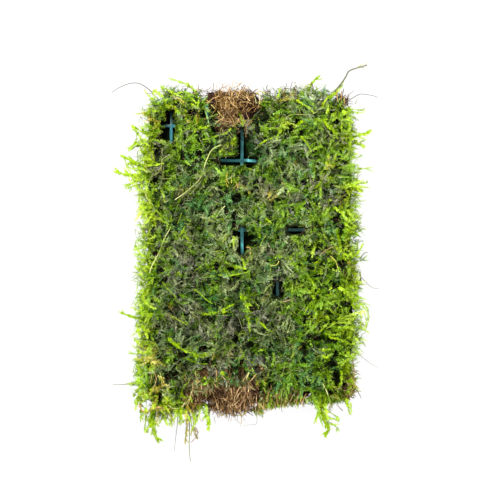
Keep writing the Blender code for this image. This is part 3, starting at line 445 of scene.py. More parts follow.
    (LIME, 0.62, 1.5, (33, -29), (37, -28.5), (40.5, -29)), (LIME, 0.6, 1.5, (31.5, -34), (35, -35), (38, -36)),
    (LIME, 0.62, 1.5, (30, -33), (33, -33.5), (36.5, -33.5)),
    (LIME, 0.68, 1.2, (43.5, -21), (45.5, -22), (47.5, -23.5)),
    (LIME, 0.64, 0.9, (45, -22), (47, -24), (48, -27), (47.5, -29)),
    (LIME, 0.68, 1.1, (45, -23), (46.5, -25.5), (47, -29), (46, -31.5)),
    (LIME, 0.68, 1.4, (45, -30.5), (47, -32), (48, -33)), (LIME, 0.68, 1.1, (44.5, -23.5), (45, -27), (44.5, -30)),
    (LIME, 0.66, 1.6, (41, -37), (43.5, -37), (45.5, -37)), (LIME, 0.68, 1.8, (39, -40), (40.5, -42), (42, -41)),
    (LIME, 0.7, 1.8, (40, -43), (42, -42.5), (43, -40.5)), (LIME, 0.6, 1.8, (27.5, -39), (30, -39.5), (32.5, -39)),
    (LIME, 0.64, 2, (29, -41.5), (31, -42.5), (32.5, -41)), (LIME, 0.66, 1.8, (36.5, -46), (38, -44.5), (40, -43)),
    (LIME, 0.62, 1.6, (37, -47.5), (37, -51), (37, -54)), (LIME, 0.68, 2.2, (28.5, -57), (28.5, -59.5), (27.5, -63)),
    (LIME, 0.66, 2.2, (30.5, -58), (30.5, -61), (31, -64.5), (31.5, -67.5)),
    (LIME, 0.66, 1.8, (27, -59), (27, -61.5), (28.5, -64)), (LIME, 0.62, 1.3, (29, -64), (27.5, -66), (27, -69)),
    (LIME, 0.6, 1.3, (29.5, -65), (30, -67), (31, -69)), (LIME, 0.64, 1.2, (31.5, -67), (34.5, -67.5), (36.5, -67)),
    (LIME, 0.64, 1.3, (32, -69.5), (34.5, -69.5), (36, -69.5)),
    (LIME, 0.7, 1.9, (39, -59), (39.5, -61.5), (41, -63.5)), (LIME, 0.66, 1.4, (40.5, -60.5), (41, -63), (41, -65)),
]
# The half sizes of the middle, where they are less light
SPRIG_SHADE = (36, 57)

# Bare stems that stand out: kind, lightness, thickness, and route in x and y
TWIGS = [
    (DUSK, 0.3, 0.25, (-36.5, 61), (-39, 63), (-41.5, 63)),
    (STRAW, 0.42, 0.5, (-32.5, 38), (-34.5, 36.5), (-35, 33.5), (-36.5, 31), (-39, 29.5), (-40, 27), (-41, 24)),
    (STRAW, 0.6, 0.4, (-41, 24), (-41, 21.5), (-39, 19)),
    (STRAW, 0.42, 0.35, (-35, 33), (-34.5, 31), (-34.5, 29), (-31, 29)),
    (TAN, 0.6, 0.28, (-38, -48), (-37, -51), (-37.5, -53), (-38.5, -55)),
    (TAN, 0.55, 0.28, (-40, -47.5), (-39, -50.5), (-39.5, -53)),
    (STRAW, 0.5, 0.28, (-35.5, -48.5), (-35, -51.5), (-34.5, -55)), (STRAW, 0.65, 0.28, (-33, -53), (-32.5, -56)),
    (STRAW, 0.72, 0.5, (-32.5, -61.5), (-30, -63), (-27, -62.5), (-25, -60.5), (-23.5, -58.5), (-23, -56)),
    (OCHRE, 0.78, 0.45, (-17, 60.5), (-15, 58.5), (-13, 56.5), (-10.5, 53.5)),
    (RUST, 0.72, 0.45, (-7, 63.5), (-7, 60.5), (-8, 57.5), (-7.5, 54.5)),
    (RUST, 0.62, 0.4, (-5, 61), (-5, 59), (-5.5, 56.5)), (RUST, 0.6, 0.4, (-3, 62), (-2.5, 59), (-3, 57)),
    (RUST, 0.62, 0.4, (-1, 62), (-0.5, 59), (-1, 57)), (RUST, 0.6, 0.4, (1, 62.5), (2, 60), (1.5, 58)),
    (RUST, 0.62, 0.4, (-11, 63.5), (-11.5, 60.5), (-11, 57)), (RUST, 0.58, 0.4, (-13.5, 62.5), (-13, 59), (-14, 57)),
    (RUST, 0.62, 0.4, (-9, 61), (-9.5, 57.5), (-8.5, 55)), (STRAW, 0.78, 0.4, (2, 63), (3, 59)),
    (OCHRE, 0.7, 0.4, (3, 63), (4.5, 64), (6.5, 63)), (BARK, 0.7, 0.6, (0.5, 62), (2, 64), (3.5, 65)),
    (TEAL, 0.95, 0.7, (-17.5, 56), (-16.5, 53), (-16, 50.5)),
    (STRAW, 0.56, 0.3, (13.5, 51), (14.5, 53), (17, 54.5), (20.5, 54.5), (24.5, 54.5), (27, 55.5), (28.5, 57.5)),
    (OLIVE, 0.6, 0.4, (15.5, 48.5), (16.5, 45), (16.5, 41.5)), (BARK, 0.62, 0.35, (16.5, 64), (17, 67), (17.5, 68)),
    (BARK, 0.45, 0.6, (18, 65.5), (19, 63.5)), (BARK, 0.55, 0.4, (14, 65), (16, 65)),
    (OCHRE, 0.6, 0.45, (-8.5, 31.5), (-9, 29), (-8, 27)), (OCHRE, 0.6, 0.4, (-7, 30), (-7, 27)),
    (OCHRE, 0.62, 0.4, (-5, 27.5), (-4.5, 25)), (OCHRE, 0.55, 0.4, (-9.5, 28.5), (-8.5, 25.5)),
    (TAN, 0.66, 0.35, (13, 27.5), (15, 25.5), (16, 23), (16.5, 20.5)),
    (STRAW, 0.78, 0.45, (-9.5, 18), (-11.5, 16), (-13, 13.5)), (RUST, 0.66, 0.5, (-1, 1.5), (0.5, 1), (0.5, -1.5)),
    (OCHRE, 0.7, 0.4, (8.5, -6), (11, -5.5), (12, -4)), (TAN, 0.72, 0.4, (12.5, -20.5), (15, -20), (18, -19)),
    (OCHRE, 0.62, 0.4, (17, -38), (19, -40), (20.5, -42.5)),
    (OCHRE, 0.62, 0.4, (21, -38), (18.5, -40.5), (17, -42.5)), (RUST, 0.58, 0.45, (29, -1), (31, 0.5), (33, 1.5)),
    (OCHRE, 0.66, 0.4, (32.5, -2), (34.5, -4), (35.5, -7)),
    (STRAW, 0.8, 0.5, (29.5, -53), (31, -56), (32, -59), (32.5, -62)),
    (TAN, 0.76, 0.4, (33, -53.5), (35, -55), (37, -55)),
    (TAN, 0.45, 0.35, (41.5, -43.5), (42, -47), (42, -51), (42, -55)),
    (BARK, 0.6, 0.35, (37.5, -64), (36.5, -63), (35, -61.5)), (BARK, 0.6, 0.4, (42.5, -55), (44, -57), (45, -59)),
    (BARK, 0.6, 0.35, (41, -56), (43, -58.5)), (BARK, 0.55, 0.35, (42.5, -48.5), (44.5, -49.5)),
    (BARK, 0.6, 0.3, (41.5, -51), (43.5, -53)), (TAN, 0.55, 0.35, (42, -53), (44, -55)),
    (RUST, 0.5, 0.4, (35, 64), (35.5, 60)), (RUST, 0.45, 0.4, (37, 64), (37, 60)),
    (RUST, 0.5, 0.4, (38, 62), (38.5, 58)), (BARK, 0.5, 0.35, (25, 67.5), (26, 64)),
    (STRAW, 0.66, 0.4, (43.6, 73.8), (45.6, 74.8), (47.4, 75)),
    (STRAW, 0.7, 0.35, (43.6, 73.4), (45.6, 73.6), (47.2, 73)), (OCHRE, 0.6, 0.35, (22, 65), (25, 67.5)),
    (BARK, 0.4, 0.6, (41.5, -36), (42.5, -34), (44, -32.5)), (BARK, 0.4, 0.6, (44.5, -8.5), (45, -12)),
    (OLIVE, 0.35, 0.5, (44.5, -3), (46, -1), (47.5, -0.5)), (DUSK, 0.4, 0.4, (41.5, 52.5), (41.5, 49)),
    (OLIVE, 0.55, 0.35, (42.5, 59), (43.5, 61)), (DUSK, 0.45, 0.4, (-21, -65.5), (-21, -68)),
    (TAN, 0.5, 0.3, (-20.5, -65.5), (-19, -68.5)), (DUSK, 0.45, 0.25, (-14, -66.5), (-13.5, -69)),
    (TAN, 0.5, 0.18, (-6.5, -65.5), (-5, -68), (-3, -69), (-3, -67)),
    (TAN, 0.5, 0.18, (-3, -65.5), (-3, -68), (-3.5, -70.5)),
    (DUSK, 0.5, 0.14, (3, -64), (3, -69), (0.5, -69.5), (-2.5, -70)), (TAN, 0.5, 0.2, (3, -64), (6, -65), (8.5, -63)),
    (TAN, 0.68, 0.4, (-18, -54.5), (-17, -59)), (TAN, 0.66, 0.4, (-16.5, -55.5), (-16, -61)),
    (TAN, 0.7, 0.45, (-15, -56), (-15, -60.5)), (TAN, 0.66, 0.45, (-13, -47.5), (-13, -55), (-13, -61.5)),
    (TAN, 0.64, 0.4, (-11, -57), (-9, -60.5)), (TAN, 0.66, 0.4, (-10, -56), (-8, -60.5)),
    (TAN, 0.66, 0.4, (-9, -56), (-7, -60), (-6.5, -63)), (TAN, 0.64, 0.45, (-7.5, -55), (-5, -59)),
    (TAN, 0.7, 0.45, (-5, -51), (-5.5, -55), (-6.5, -57)), (STRAW, 0.84, 0.6, (-5, -52), (-3, -55)),
    (TAN, 0.7, 0.5, (-2.5, -57), (-1, -54), (1, -51.5), (3, -49)),
    (TAN, 0.66, 0.45, (-4.5, -56), (-3, -59.5), (-3, -63)), (RUST, 0.66, 0.5, (1, -57.5), (0.5, -61), (0, -63.5)),
    (STRAW, 0.7, 0.55, (0, -48.5), (-1, -51.5), (-1.5, -54.5)), (TAN, 0.64, 0.45, (3, -54.5), (3, -59.5), (2.5, -64)),
    (TAN, 0.62, 0.35, (3.5, -54.5), (4.5, -59)), (TAN, 0.6, 0.35, (5, -56), (5, -60)),
    (RUST, 0.58, 0.6, (-10, -52), (-8, -53), (-6, -54)), (RUST, 0.55, 0.5, (-12, -53.5), (-9.5, -55), (-7, -56)),
    (RUST, 0.6, 0.45, (8.5, -58), (9, -61.5)), (RUST, 0.58, 0.4, (11, -57.5), (11.5, -61)),
    (RUST, 0.56, 0.4, (14, -58.5), (14.5, -61.5)), (RUST, 0.58, 0.4, (20.5, -58.5), (21, -61.5)),
    (RUST, 0.56, 0.4, (23, -57), (21.5, -60)), (OCHRE, 0.64, 0.3, (-8, -41.5), (-8, -46)),
]


# ---------------------------------------------------------------------------------------------------------------
# Vectors and curves

FIELD_WAVES = 24


def unit(vectors):
    return vectors / np.maximum(np.linalg.norm(vectors, axis=-1, keepdims=True), 1e-9)


def sideways(normals):
    """The level parts of normals, as unit vectors."""
    return unit(normals * LEVEL)


def bezier(curves, t):
    """Points and unit tangents of cubic Bezier curves (N, 4, 3), each at its own t (N,)."""
    a, b, c, d = (curves[:, k] for k in range(4))
    t = t[:, None]
    s = 1 - t
    points = s**3 * a + 3 * s * s * t * b + 3 * s * t * t * c + t**3 * d
    tangents = 3 * (s * s * (b - a) + 2 * s * t * (c - b) + t * t * (d - c))
    return points, unit(tangents)


def smooth_route(points, step):
    """Points about every step along a curve through the route's own points."""
    route = [np.array(point, float) for point in points]
    ends = [route[0] * 2 - route[1]] + route + [route[-1] * 2 - route[-2]]
    found = []
    for a, b, c, d in zip(ends, ends[1:], ends[2:], ends[3:]):
        count = max(2, round(np.linalg.norm(c - b) / step))
        for t in np.arange(count) / count:
            bend, twist = 2 * a - 5 * b + 4 * c - d, 3 * b - a - 3 * c + d
            found.append(0.5 * (2 * b + (c - a) * t + bend * t * t + twist * t**3))
    found.append(route[-1])
    return np.array(found)


def signed_weight(patches, points):
    """The sum of a set of patches at each point."""
    x, y = points[:, 0], points[:, 1]
    total = np.zeros(len(points))
    for cx, cy, rx, ry, weight in patches:
        total += weight * np.exp(-(((x - cx) / rx) ** 2) - ((y - cy) / ry) ** 2)
    return total


def patch_weight(patches, points):
    """How strongly a set of patches reaches each point, from 0 to 1."""
    return np.clip(signed_weight(patches, points), 0, 1)


def mottle(points, size, seed):
    """A smooth random field over the points, about normal, that changes over size millimetres."""
    rng = np.random.default_rng(seed)
    waves = unit(rng.normal(0, 1, (FIELD_WAVES, 3))) * (2 * math.pi / size) * rng.uniform(0.6, 1.5, (FIELD_WAVES, 1))
    phases = rng.uniform(0, 2 * math.pi, FIELD_WAVES)
    return np.cos(points @ waves.T + phases).sum(axis=1) * math.sqrt(2 / FIELD_WAVES)


def step_between(x, low, high):
    """A smooth step, 0 at low and 1 at high."""
    t = np.clip((x - low) / (high - low), 0, 1)
    return t * t * (3 - 2 * t)


# ---------------------------------------------------------------------------------------------------------------
# The CAD solids, as surfaces to grow on

# Higher than anything on the pad
OVERHEAD = 60
# A surface point sees out if nothing is within AIR_REACH of it, along its normal tipped upwards
AIR_REACH = 14.0
AIR_TIP = Vector((0, 0, 0.8))
AIR_START = 0.05


class Surface:
    """A CAD node's mesh in millimetres, to sample and to measure from."""

    def __init__(self, node):
        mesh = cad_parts[node].data
        mesh.calc_loop_triangles()
        points = np.empty(len(mesh.vertices) * 3)
        mesh.vertices.foreach_get("co", points)
        self.points = points.reshape(-1, 3) / MM
        faces = np.empty(len(mesh.loop_triangles) * 3, int)
        mesh.loop_triangles.foreach_get("vertices", faces)
        self.faces = faces.reshape(-1, 3)
        corners = self.points[self.faces]
        cross = np.cross(corners[:, 1] - corners[:, 0], corners[:, 2] - corners[:, 0])
        self.areas = np.linalg.norm(cross, axis=1) / 2
        self.normals = unit(cross)
        self.tree = BVHTree.FromPolygons([Vector(p) for p in self.points], self.faces.tolist())

    def sample(self, rng, count, keep):
        """Random points, and the normals there, on the triangles that keep() picks by middle and normal."""
        middles = self.points[self.faces].mean(axis=1)
        weights = self.areas * keep(middles, self.normals)
        picked = rng.choice(len(self.faces), count, p=weights / weights.sum())
        a, b = rng.random(count), rng.random(count)
        over = a + b > 1
        a[over], b[over] = 1 - a[over], 1 - b[over]
        first, second, third = (self.points[self.faces[picked, k]] for k in range(3))
        points = first + a[:, None] * (second - first) + b[:, None] * (third - first)
        return points, self.normals[picked]

    def top(self, x, y):
        hit = self.tree.ray_cast(Vector((x, y, OVERHEAD)), Vector((0, 0, -1)))[0]
        return hit.z if hit else 0.0


cushion = Surface("moss_cushion")
mat = Surface("brown_stem_mat")


def open_to_air(points, normals):
    """Which surface points see out."""
    seen = np.zeros(len(points), bool)
    for index, (point, normal) in enumerate(zip(points, normals)):
        way = Vector(normal) + AIR_TIP
        seen[index] = cushion.tree.ray_cast(Vector(point) + way * AIR_START, way, AIR_REACH)[0] is None
    return seen


# ---------------------------------------------------------------------------------------------------------------
# Shoots: stems and their leaves

# Leaves get lighter with their height over the surface they come out of, up to TALL, a painted shade that is darkest
# deep in the growth, and towards a shoot's tip
LEAF_DEPTH_SHADE = 0.20
TALL = 2.6
TIP_GAIN = 0.22
STEM_GAIN = 0.1
# A leaf's root is darker and its tip lighter than its middle
ROOT_LOSS = 0.06
POINT_GAIN = 0.05
# Leaves stand in turn to the right and left, and each fifth one on the stem's upper side
ROWS = 5
UPPER_ROW = 4
LEAF_LENGTH = 0.56
LEAF_HALF_WIDTH = (0.14, 0.21)
LEAF_BELLY = 0.42


class Shoots:
    """Many shoots as arrays: Bezier stem, way its flat side faces, leaf span, bare share, kind, lightness, and the
    point and the normal of the surface it comes out of."""

    def __init__(self, curve, face, span, bare, kind, light, root, normal):
        self.curve, self.face, self.span, self.bare = curve, face, span, bare
        self.kind, self.light, self.root, self.normal = kind, light, root, normal

    def take(self, mask):
        return Shoots(*(value[mask] for value in vars(self).values()))

    @staticmethod
    def join(groups):
        columns = zip(*(vars(group).values() for group in groups))
        return Shoots(*(np.concatenate(column) for column in columns))

    def lengths(self):
        return np.linalg.norm(np.diff(self.curve, axis=1), axis=2).sum(axis=1)


def stems_from(rng, start, heading, face, length, wander, sag):
    """Bezier control points of stems that leave start along heading, wander and sag."""
    side = unit(np.cross(heading, face))
    count = len(start)
    sway = rng.normal(0, wander, (3, count, 1))
    third = length[:, None] / 3
    first = start + unit(heading + side * sway[0]) * third
    second_way = unit(heading + side * (sway[0] + sway[1]) + face * rng.normal(0, wander / 2, (count, 1)) - UP * sag)
    second = first + second_way * third
    last = second + unit(second_way + side * sway[2] - UP * sag * 1.2) * third
    return np.stack([start, first, second, last], axis=1)


def with_branches(rng, shoots, share, per_shoot, size):
    """The shoots, and side shoots on a share of them, size of their stem's length at its root."""
    groups = [shoots]
    for _ in range(per_shoot):
        chosen = shoots.take(rng.random(len(shoots.span)) < share)
        count = len(chosen.span)
        lowest = np.maximum(chosen.bare, 0.15)
        t = lowest + (0.75 - lowest) * rng.random(count)
        points, tangents = bezier(chosen.curve, t)
        sides = unit(np.cross(tangents, chosen.face)) * rng.choice([-1.0, 1.0], (count, 1))
        heading = unit(tangents + sides * rng.uniform(0.7, 1.1, (count, 1)))
        length = chosen.lengths() * size * (1.15 - t) * rng.uniform(0.7, 1.2, count)
        curve = stems_from(rng, points, heading, chosen.face, length, wander=0.15, sag=0.05)
        curve[:, 3] += tangents * (length * 0.2)[:, None]
        light = np.clip(chosen.light + rng.normal(0, 0.05, count), 0, 1)
        bare = np.full(count, 0.05)
        side_shoots = (curve, chosen.face, chosen.span * 0.82, bare, chosen.kind, light, chosen.root, chosen.normal)
        groups.append(Shoots(*side_shoots))
    return Shoots.join(groups)


def leaf_mesh(rng, shoots, spacing, jitter=0.13):
    """(corners, uv) of folded leaves, two triangles each, in two side rows and a sparse upper one."""
    lengths = shoots.lengths()
    counts = np.maximum(3, (lengths * (1 - shoots.bare) / spacing).astype(int))
    owner = np.repeat(np.arange(len(counts)), counts)
    total = len(owner)
    order = np.arange(total) - np.repeat(np.cumsum(counts) - counts, counts)
    along = (order + rng.random(total)) / counts[owner]
    t = shoots.bare[owner] + (1 - shoots.bare[owner]) * along
    points, tangents = bezier(shoots.curve[owner], t)
    sides = unit(np.cross(tangents, shoots.face[owner]))
    face = unit(np.cross(sides, tangents))

    row = order % ROWS
    upper = row == UPPER_ROW
    turn = np.where(upper, 0.0, np.where(row % 2 == 0, 1.0, -1.0)) + rng.normal(0, 0.16, total)
    lift = np.where(upper, 0.8, 0.12) + rng.normal(0, 0.2, total)
    opening = (0.95 - 0.55 * along**2) * rng.uniform(0.8, 1.2, total)
    outwards = sides * (turn * np.sin(opening))[:, None] + face * (lift * 0.6)[:, None]
    way = unit(tangents * np.cos(opening)[:, None] + outwards)
    profile = np.clip(0.55 + 1.6 * along, 0, 1) * (1 - 0.55 * along**3) * rng.uniform(0.75, 1.2, total)
    size = shoots.span[owner] * LEAF_LENGTH * profile * np.where(upper, 0.75, 1.0)
    across = unit(np.cross(face, way))
    out = unit(np.cross(way, across))
    half = across * (size * rng.uniform(*LEAF_HALF_WIDTH, total))[:, None]
    belly = points + way * (size * LEAF_BELLY)[:, None] + out * (size * 0.10)[:, None]
    tip = points + way * size[:, None] - out * (size * rng.uniform(-0.05, 0.22, total))[:, None]
    corners = np.stack([points, belly - half, tip, belly + half], axis=1)

    height = ((points - shoots.root[owner]) * shoots.normal[owner]).sum(axis=1)
    light = shoots.light[owner] + rng.normal(0, jitter, total) + TIP_GAIN * (along - 0.55)
    # Painted shade: leaves low over the surface they come out of are darker, high ones lighter
    light += LEAF_DEPTH_SHADE * (np.clip(height / TALL, -1, 1) - 0.4)
    place = np.stack([(shoots.kind[owner] + 0.5) / len(PALETTE), np.clip(light, 0.02, 0.98)], axis=-1)
    shift = [(0, -ROOT_LOSS), (-SIDE_TINT, 0), (0, POINT_GAIN), (SIDE_TINT, 0)]
    return corners, np.clip(place[:, None] + shift, 0.01, 0.99)


def leaf_parts(corners, uv):
    """(points, triangles, uv) of leaves given as (N, 4, 3) corners."""
    first = np.arange(len(corners))[:, None] * 4
    faces = np.concatenate([first + [0, 1, 2], first + [0, 2, 3]])
    return corners.reshape(-1, 3), faces, uv.reshape(-1, 2)


def ellipse_reach(points, x, y, wide, long):
    """How far out each point is in an upright ellipse, 1 on its rim."""
    return ((points[..., 0] - x) / wide) ** 2 + ((points[..., 1] - y) / long) ** 2


def clear_openings(rng, corners, uv):
    """The leaves less those that would cover the net's open stretches or a hole."""
    ragged = rng.uniform(-0.2, 0.2, len(corners)) + 0.3 * mottle(corners[:, 0], size=2.6, seed=41)
    drop = ellipse_reach(corners[:, 2], *GROUND_GAP) < 1 + ragged
    for corner in (0, 2):
        place = corners[:, corner]
        for x, y, wide, long in NET_WINDOWS:
            flare = NET_FLARE * np.maximum(place[:, 2] - NET_TOP, 0)
            past = np.maximum(np.abs(place[:, 0] - x) - wide, np.abs(place[:, 1] - y) - long)
            drop |= (past < flare + ragged * 0.6) & (place[:, 2] > UNDER_NET)
        for x, y, wide, long in HOLES:
            floor = cushion.top(x, y) - HOLE_DEPTH
            drop |= (ellipse_reach(place, x, y, wide, long) < 1 + ragged) & (place[:, 2] > floor)
    return corners[~drop], uv[~drop]


def clear_stems(paths):
    """Which stems cross neither the net's open stretches nor a hole."""
    clear = np.ones(len(paths), bool)
    for x, y, wide, long in NET_WINDOWS:
        inside = (np.abs(paths[..., 0] - x) < wide) & (np.abs(paths[..., 1] - y) < long)
        clear &= ~inside.any(axis=1)
    for opening in [*HOLES, GROUND_GAP]:
        clear &= ~(ellipse_reach(paths, *opening) < 0.9).any(axis=1)
    return clear


def tube_parts(paths, radii, kind, light, sides=3, taper=0.5):
    """(points, triangles, uv) of round stems along paths (N, K, 3)."""
    count, knots = paths.shape[:2]
    ahead = unit(np.gradient(paths, axis=1))
    helper = np.where(np.abs(ahead[..., 2:]) > 0.9, np.array([1.0, 0, 0]), UP)
    across = unit(np.cross(ahead, helper))
    over = np.cross(across, ahead)
    turns = 2 * math.pi * np.arange(sides) / sides
    thin = 1 - taper * np.linspace(0, 1, knots)
    size = (radii[:, None] * thin)[..., None, None]
    ring = across[:, :, None] * np.cos(turns)[:, None] + over[:, :, None] * np.sin(turns)[:, None]
    points = (paths[:, :, None] + ring * size).reshape(-1, 3)
    index = np.arange(count * knots * sides).reshape(count, knots, sides)
    a, b = index[:, :-1], index[:, 1:]
    c, d = np.roll(b, -1, axis=2), np.roll(a, -1, axis=2)
    faces = np.concatenate([np.stack([a, d, c], -1).reshape(-1, 3), np.stack([a, c, b], -1).reshape(-1, 3)])
    shade = light[:, None, None] + 0.10 * np.linspace(-1, 1, knots)[None, :, None] + 0.04 * np.cos(turns)
    column = ((kind + 0.5) / len(PALETTE))[:, None, None] + SIDE_TINT * np.sin(turns)
    uv = np.stack([np.broadcast_to(column, shade.shape), shade], axis=-1)
    return points, faces, np.clip(uv.reshape(-1, 2), 0.01, 0.99)


def one_tube(path, thickness, kind, light, sides, taper):
    return tube_parts(path[None], np.array([thickness / 2]), np.array([kind]), np.array([light]), sides, taper)


def stem_paths(curves, knots):
    """Points at even steps along Bezier curves, (N, knots, 3)."""
    return np.stack([bezier(curves, np.full(len(curves), t))[0] for t in np.linspace(0, 1, knots)], axis=1)


def stem_parts(shoots, thickness):
    """The shoots' own stems."""
    paths = stem_paths(shoots.curve, 4)
    return tube_parts(paths, np.full(len(paths), thickness / 2), shoots.kind, shoots.light + STEM_GAIN)


# ---------------------------------------------------------------------------------------------------------------
# Objects and materials


def linked(name, data):
    made = bpy.data.objects.new(name, data)
    bpy.context.scene.collection.objects.link(made)
    return made


def piece(name, parts, material, nodes=()):
    """A piece of the scene joined from (points, triangles, uv) parts."""
    firsts = np.cumsum([0] + [len(part[0]) for part in parts[:-1]])
    points = np.concatenate([part[0] for part in parts])
    faces = np.concatenate([part[1] + first for part, first in zip(parts, firsts)])
    uv = np.concatenate([part[2] for part in parts])
    points[:, 2] = np.maximum(points[:, 2], LOWEST)

    mesh = bpy.data.meshes.new(name)
    mesh.vertices.add(len(points))
    mesh.vertices.foreach_set("co", (points * MM).ravel())
    mesh.loops.add(len(faces) * 3)
    mesh.loops.foreach_set("vertex_index", faces.ravel())
    mesh.polygons.add(len(faces))
    mesh.polygons.foreach_set("loop_start", np.arange(len(faces)) * 3)
    mesh.polygons.foreach_set("loop_total", np.full(len(faces), 3))
    mesh.update(calc_edges=True)
    layer = mesh.uv_layers.new(name=PALETTE_MAP)
    layer.data.foreach_set("uv", uv[faces.ravel()].ravel())
    mesh.materials.append(material)
    made = linked(name, mesh)
    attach(made, "root")
    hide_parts(*nodes)
    print(name, len(faces), "triangles")


class Nodes:
    """A material's node tree, with short ways to add to it."""

    def __init__(self, name, roughness, shine):
        self.material = bpy.data.materials.new(name)
        self.material.use_nodes = True
        self.tree = self.material.node_tree
        self.shader = self.tree.nodes["Principled BSDF"].inputs
        self.feed(self.shader, {"Roughness": roughness, "Specular IOR Level": shine})

    def feed(self, sockets, values):
        """Sockets set to constants, or linked to other nodes' outputs."""
        for key, value in values.items():
            if hasattr(value, "is_output"):
                self.tree.links.new(value, sockets[key])
            else:
                sockets[key].default_value = value

    def add(self, kind, values=(), **settings):
        """The outputs of a new node, with its input values and its settings."""
        node = self.tree.nodes.new(kind)
        for key, value in settings.items():
            setattr(node, key, value)
        self.feed(node.inputs, dict(values))
        return node.outputs

    def maths(self, operation, *values):
        return self.add("ShaderNodeMath", enumerate(values), operation=operation)[0]

    def place(self):
        return self.add("ShaderNodeTexCoord")["Object"]

    def ramp(self, source, stops):
        node = self.tree.nodes.new("ShaderNodeValToRGB")
        elements = node.color_ramp.elements
        while len(elements) < len(stops):
            elements.new(0.5)
        for element, (position, colour) in zip(elements, stops):
            element.position = position
            element.color = (*colour, 1.0)
        self.feed(node.inputs, {0: source})
        return node.outputs[0]

    def noise(self, scale, detail, roughness=0.6):
        """Noise in object space, scale in cycles per millimetre."""
        values = {"Scale": scale / MM, "Detail": detail, "Roughness": roughness, "Vector": self.place()}
        return self.add("ShaderNodeTexNoise", values)["Fac"]

    def mix(self, factor, first, second):
        return self.add("ShaderNodeMix", {0: factor, 6: first, 7: second}, data_type="RGBA")[2]

    def bump(self, height, strength, distance):
        values = {"Strength": strength, "Distance": distance * MM, "Height": height}
        self.feed(self.shader, {"Normal": self.add("ShaderNodeBump", values)["Normal"]})

    def coloured(self, source):
        """The material, once its colour is set."""
        self.feed(self.shader, {"Base Color": source})
        return self.material


def palette_material(name, roughness):
    """Colour from the palette map: a ramp of lightness for each kind of growth, side by side, and a tint across each
    column, from cool to warm."""
    nodes = Nodes(name, roughness, WETNESS)
    place = nodes.add("ShaderNodeSeparateXYZ", {"Vector": nodes.add("ShaderNodeUVMap", uv_map=PALETTE_MAP)["UV"]})
    ramps = [nodes.ramp(place["Y"], list(zip(PALETTE_STOPS, colours))) for colours in PALETTE.values()]
    colour = ramps[0]
    for column in range(1, len(ramps)):
        past = nodes.maths("GREATER_THAN", place["X"], column / len(PALETTE))
        colour = nodes.mix(past, colour, ramps[column])
    across = nodes.maths("FRACT", nodes.maths("MULTIPLY", place["X"], len(PALETTE)))
    values = {0: colour, 1: nodes.ramp(across, TINT)}
    return nodes.coloured(nodes.add("ShaderNodeVectorMath", values, operation="MULTIPLY")[0])


def core_material(name, stops, scale):
    nodes = Nodes(name, roughness=0.9, shine=0.05)
    nodes.bump(nodes.noise(scale * 2, 3.0), 0.6, 0.4)
    return nodes.coloured(nodes.ramp(nodes.noise(scale, 6.0, 0.7), stops))


def net_material():
    """Glossy moulded plastic, blue-green, paler to the right as painted light on bars that lie shaded deep in
    openings, with a film of algae in patches.
    """
    nodes = Nodes("net_plastic", roughness=0.25, shine=0.4)
    film = nodes.ramp(nodes.noise(0.22, 5.0, 0.65), ALGAE_PATCHES)
    across_pad = (0.5 / (PAD_HALF_WIDTH * MM), 1, 1)
    place = nodes.add("ShaderNodeMapping", {"Location": (0.5, 0, 0), "Scale": across_pad, "Vector": nodes.place()})
    # The plastic's own blue-green, paler to the right as painted light on the bars that lie in shade deep in narrow
    # openings there
    plastic = nodes.ramp(nodes.add("ShaderNodeSeparateXYZ", {"Vector": place["Vector"]})["X"], NET_PLASTIC_PAINTED_LIGHT)
    nodes.bump(nodes.noise(1.2, 3.0), 0.25, 0.08)
    return nodes.coloured(nodes.mix(film, plastic, NET_ALGAE))


# ---------------------------------------------------------------------------------------------------------------
# Growth

# Where the pad's left and right sides begin to turn lime green, and where they are all so
LEFT_SIDE = (36.5, 42)
RIGHT_SIDE = (36, 41.5)

# The height under which the growth between the sides begins to darken with painted shade, and where it is darkest
LOW_BAND = (13, 8)

# Lightness of the growth: its middle value, and what sides, patches, painted shade low down and kind do to it
LIGHTNESS = 0.50
SIDE_GAIN = 0.10
DARK_PATCH_LOSS = 0.26
LIGHT_PATCH_GAIN = 0.13
LOW_PAINTED_SHADE = 0.10
TAN_LOSS = 0.14
# Nothing grows where the field of vigour is under this
BALD_VIGOUR = -1.5


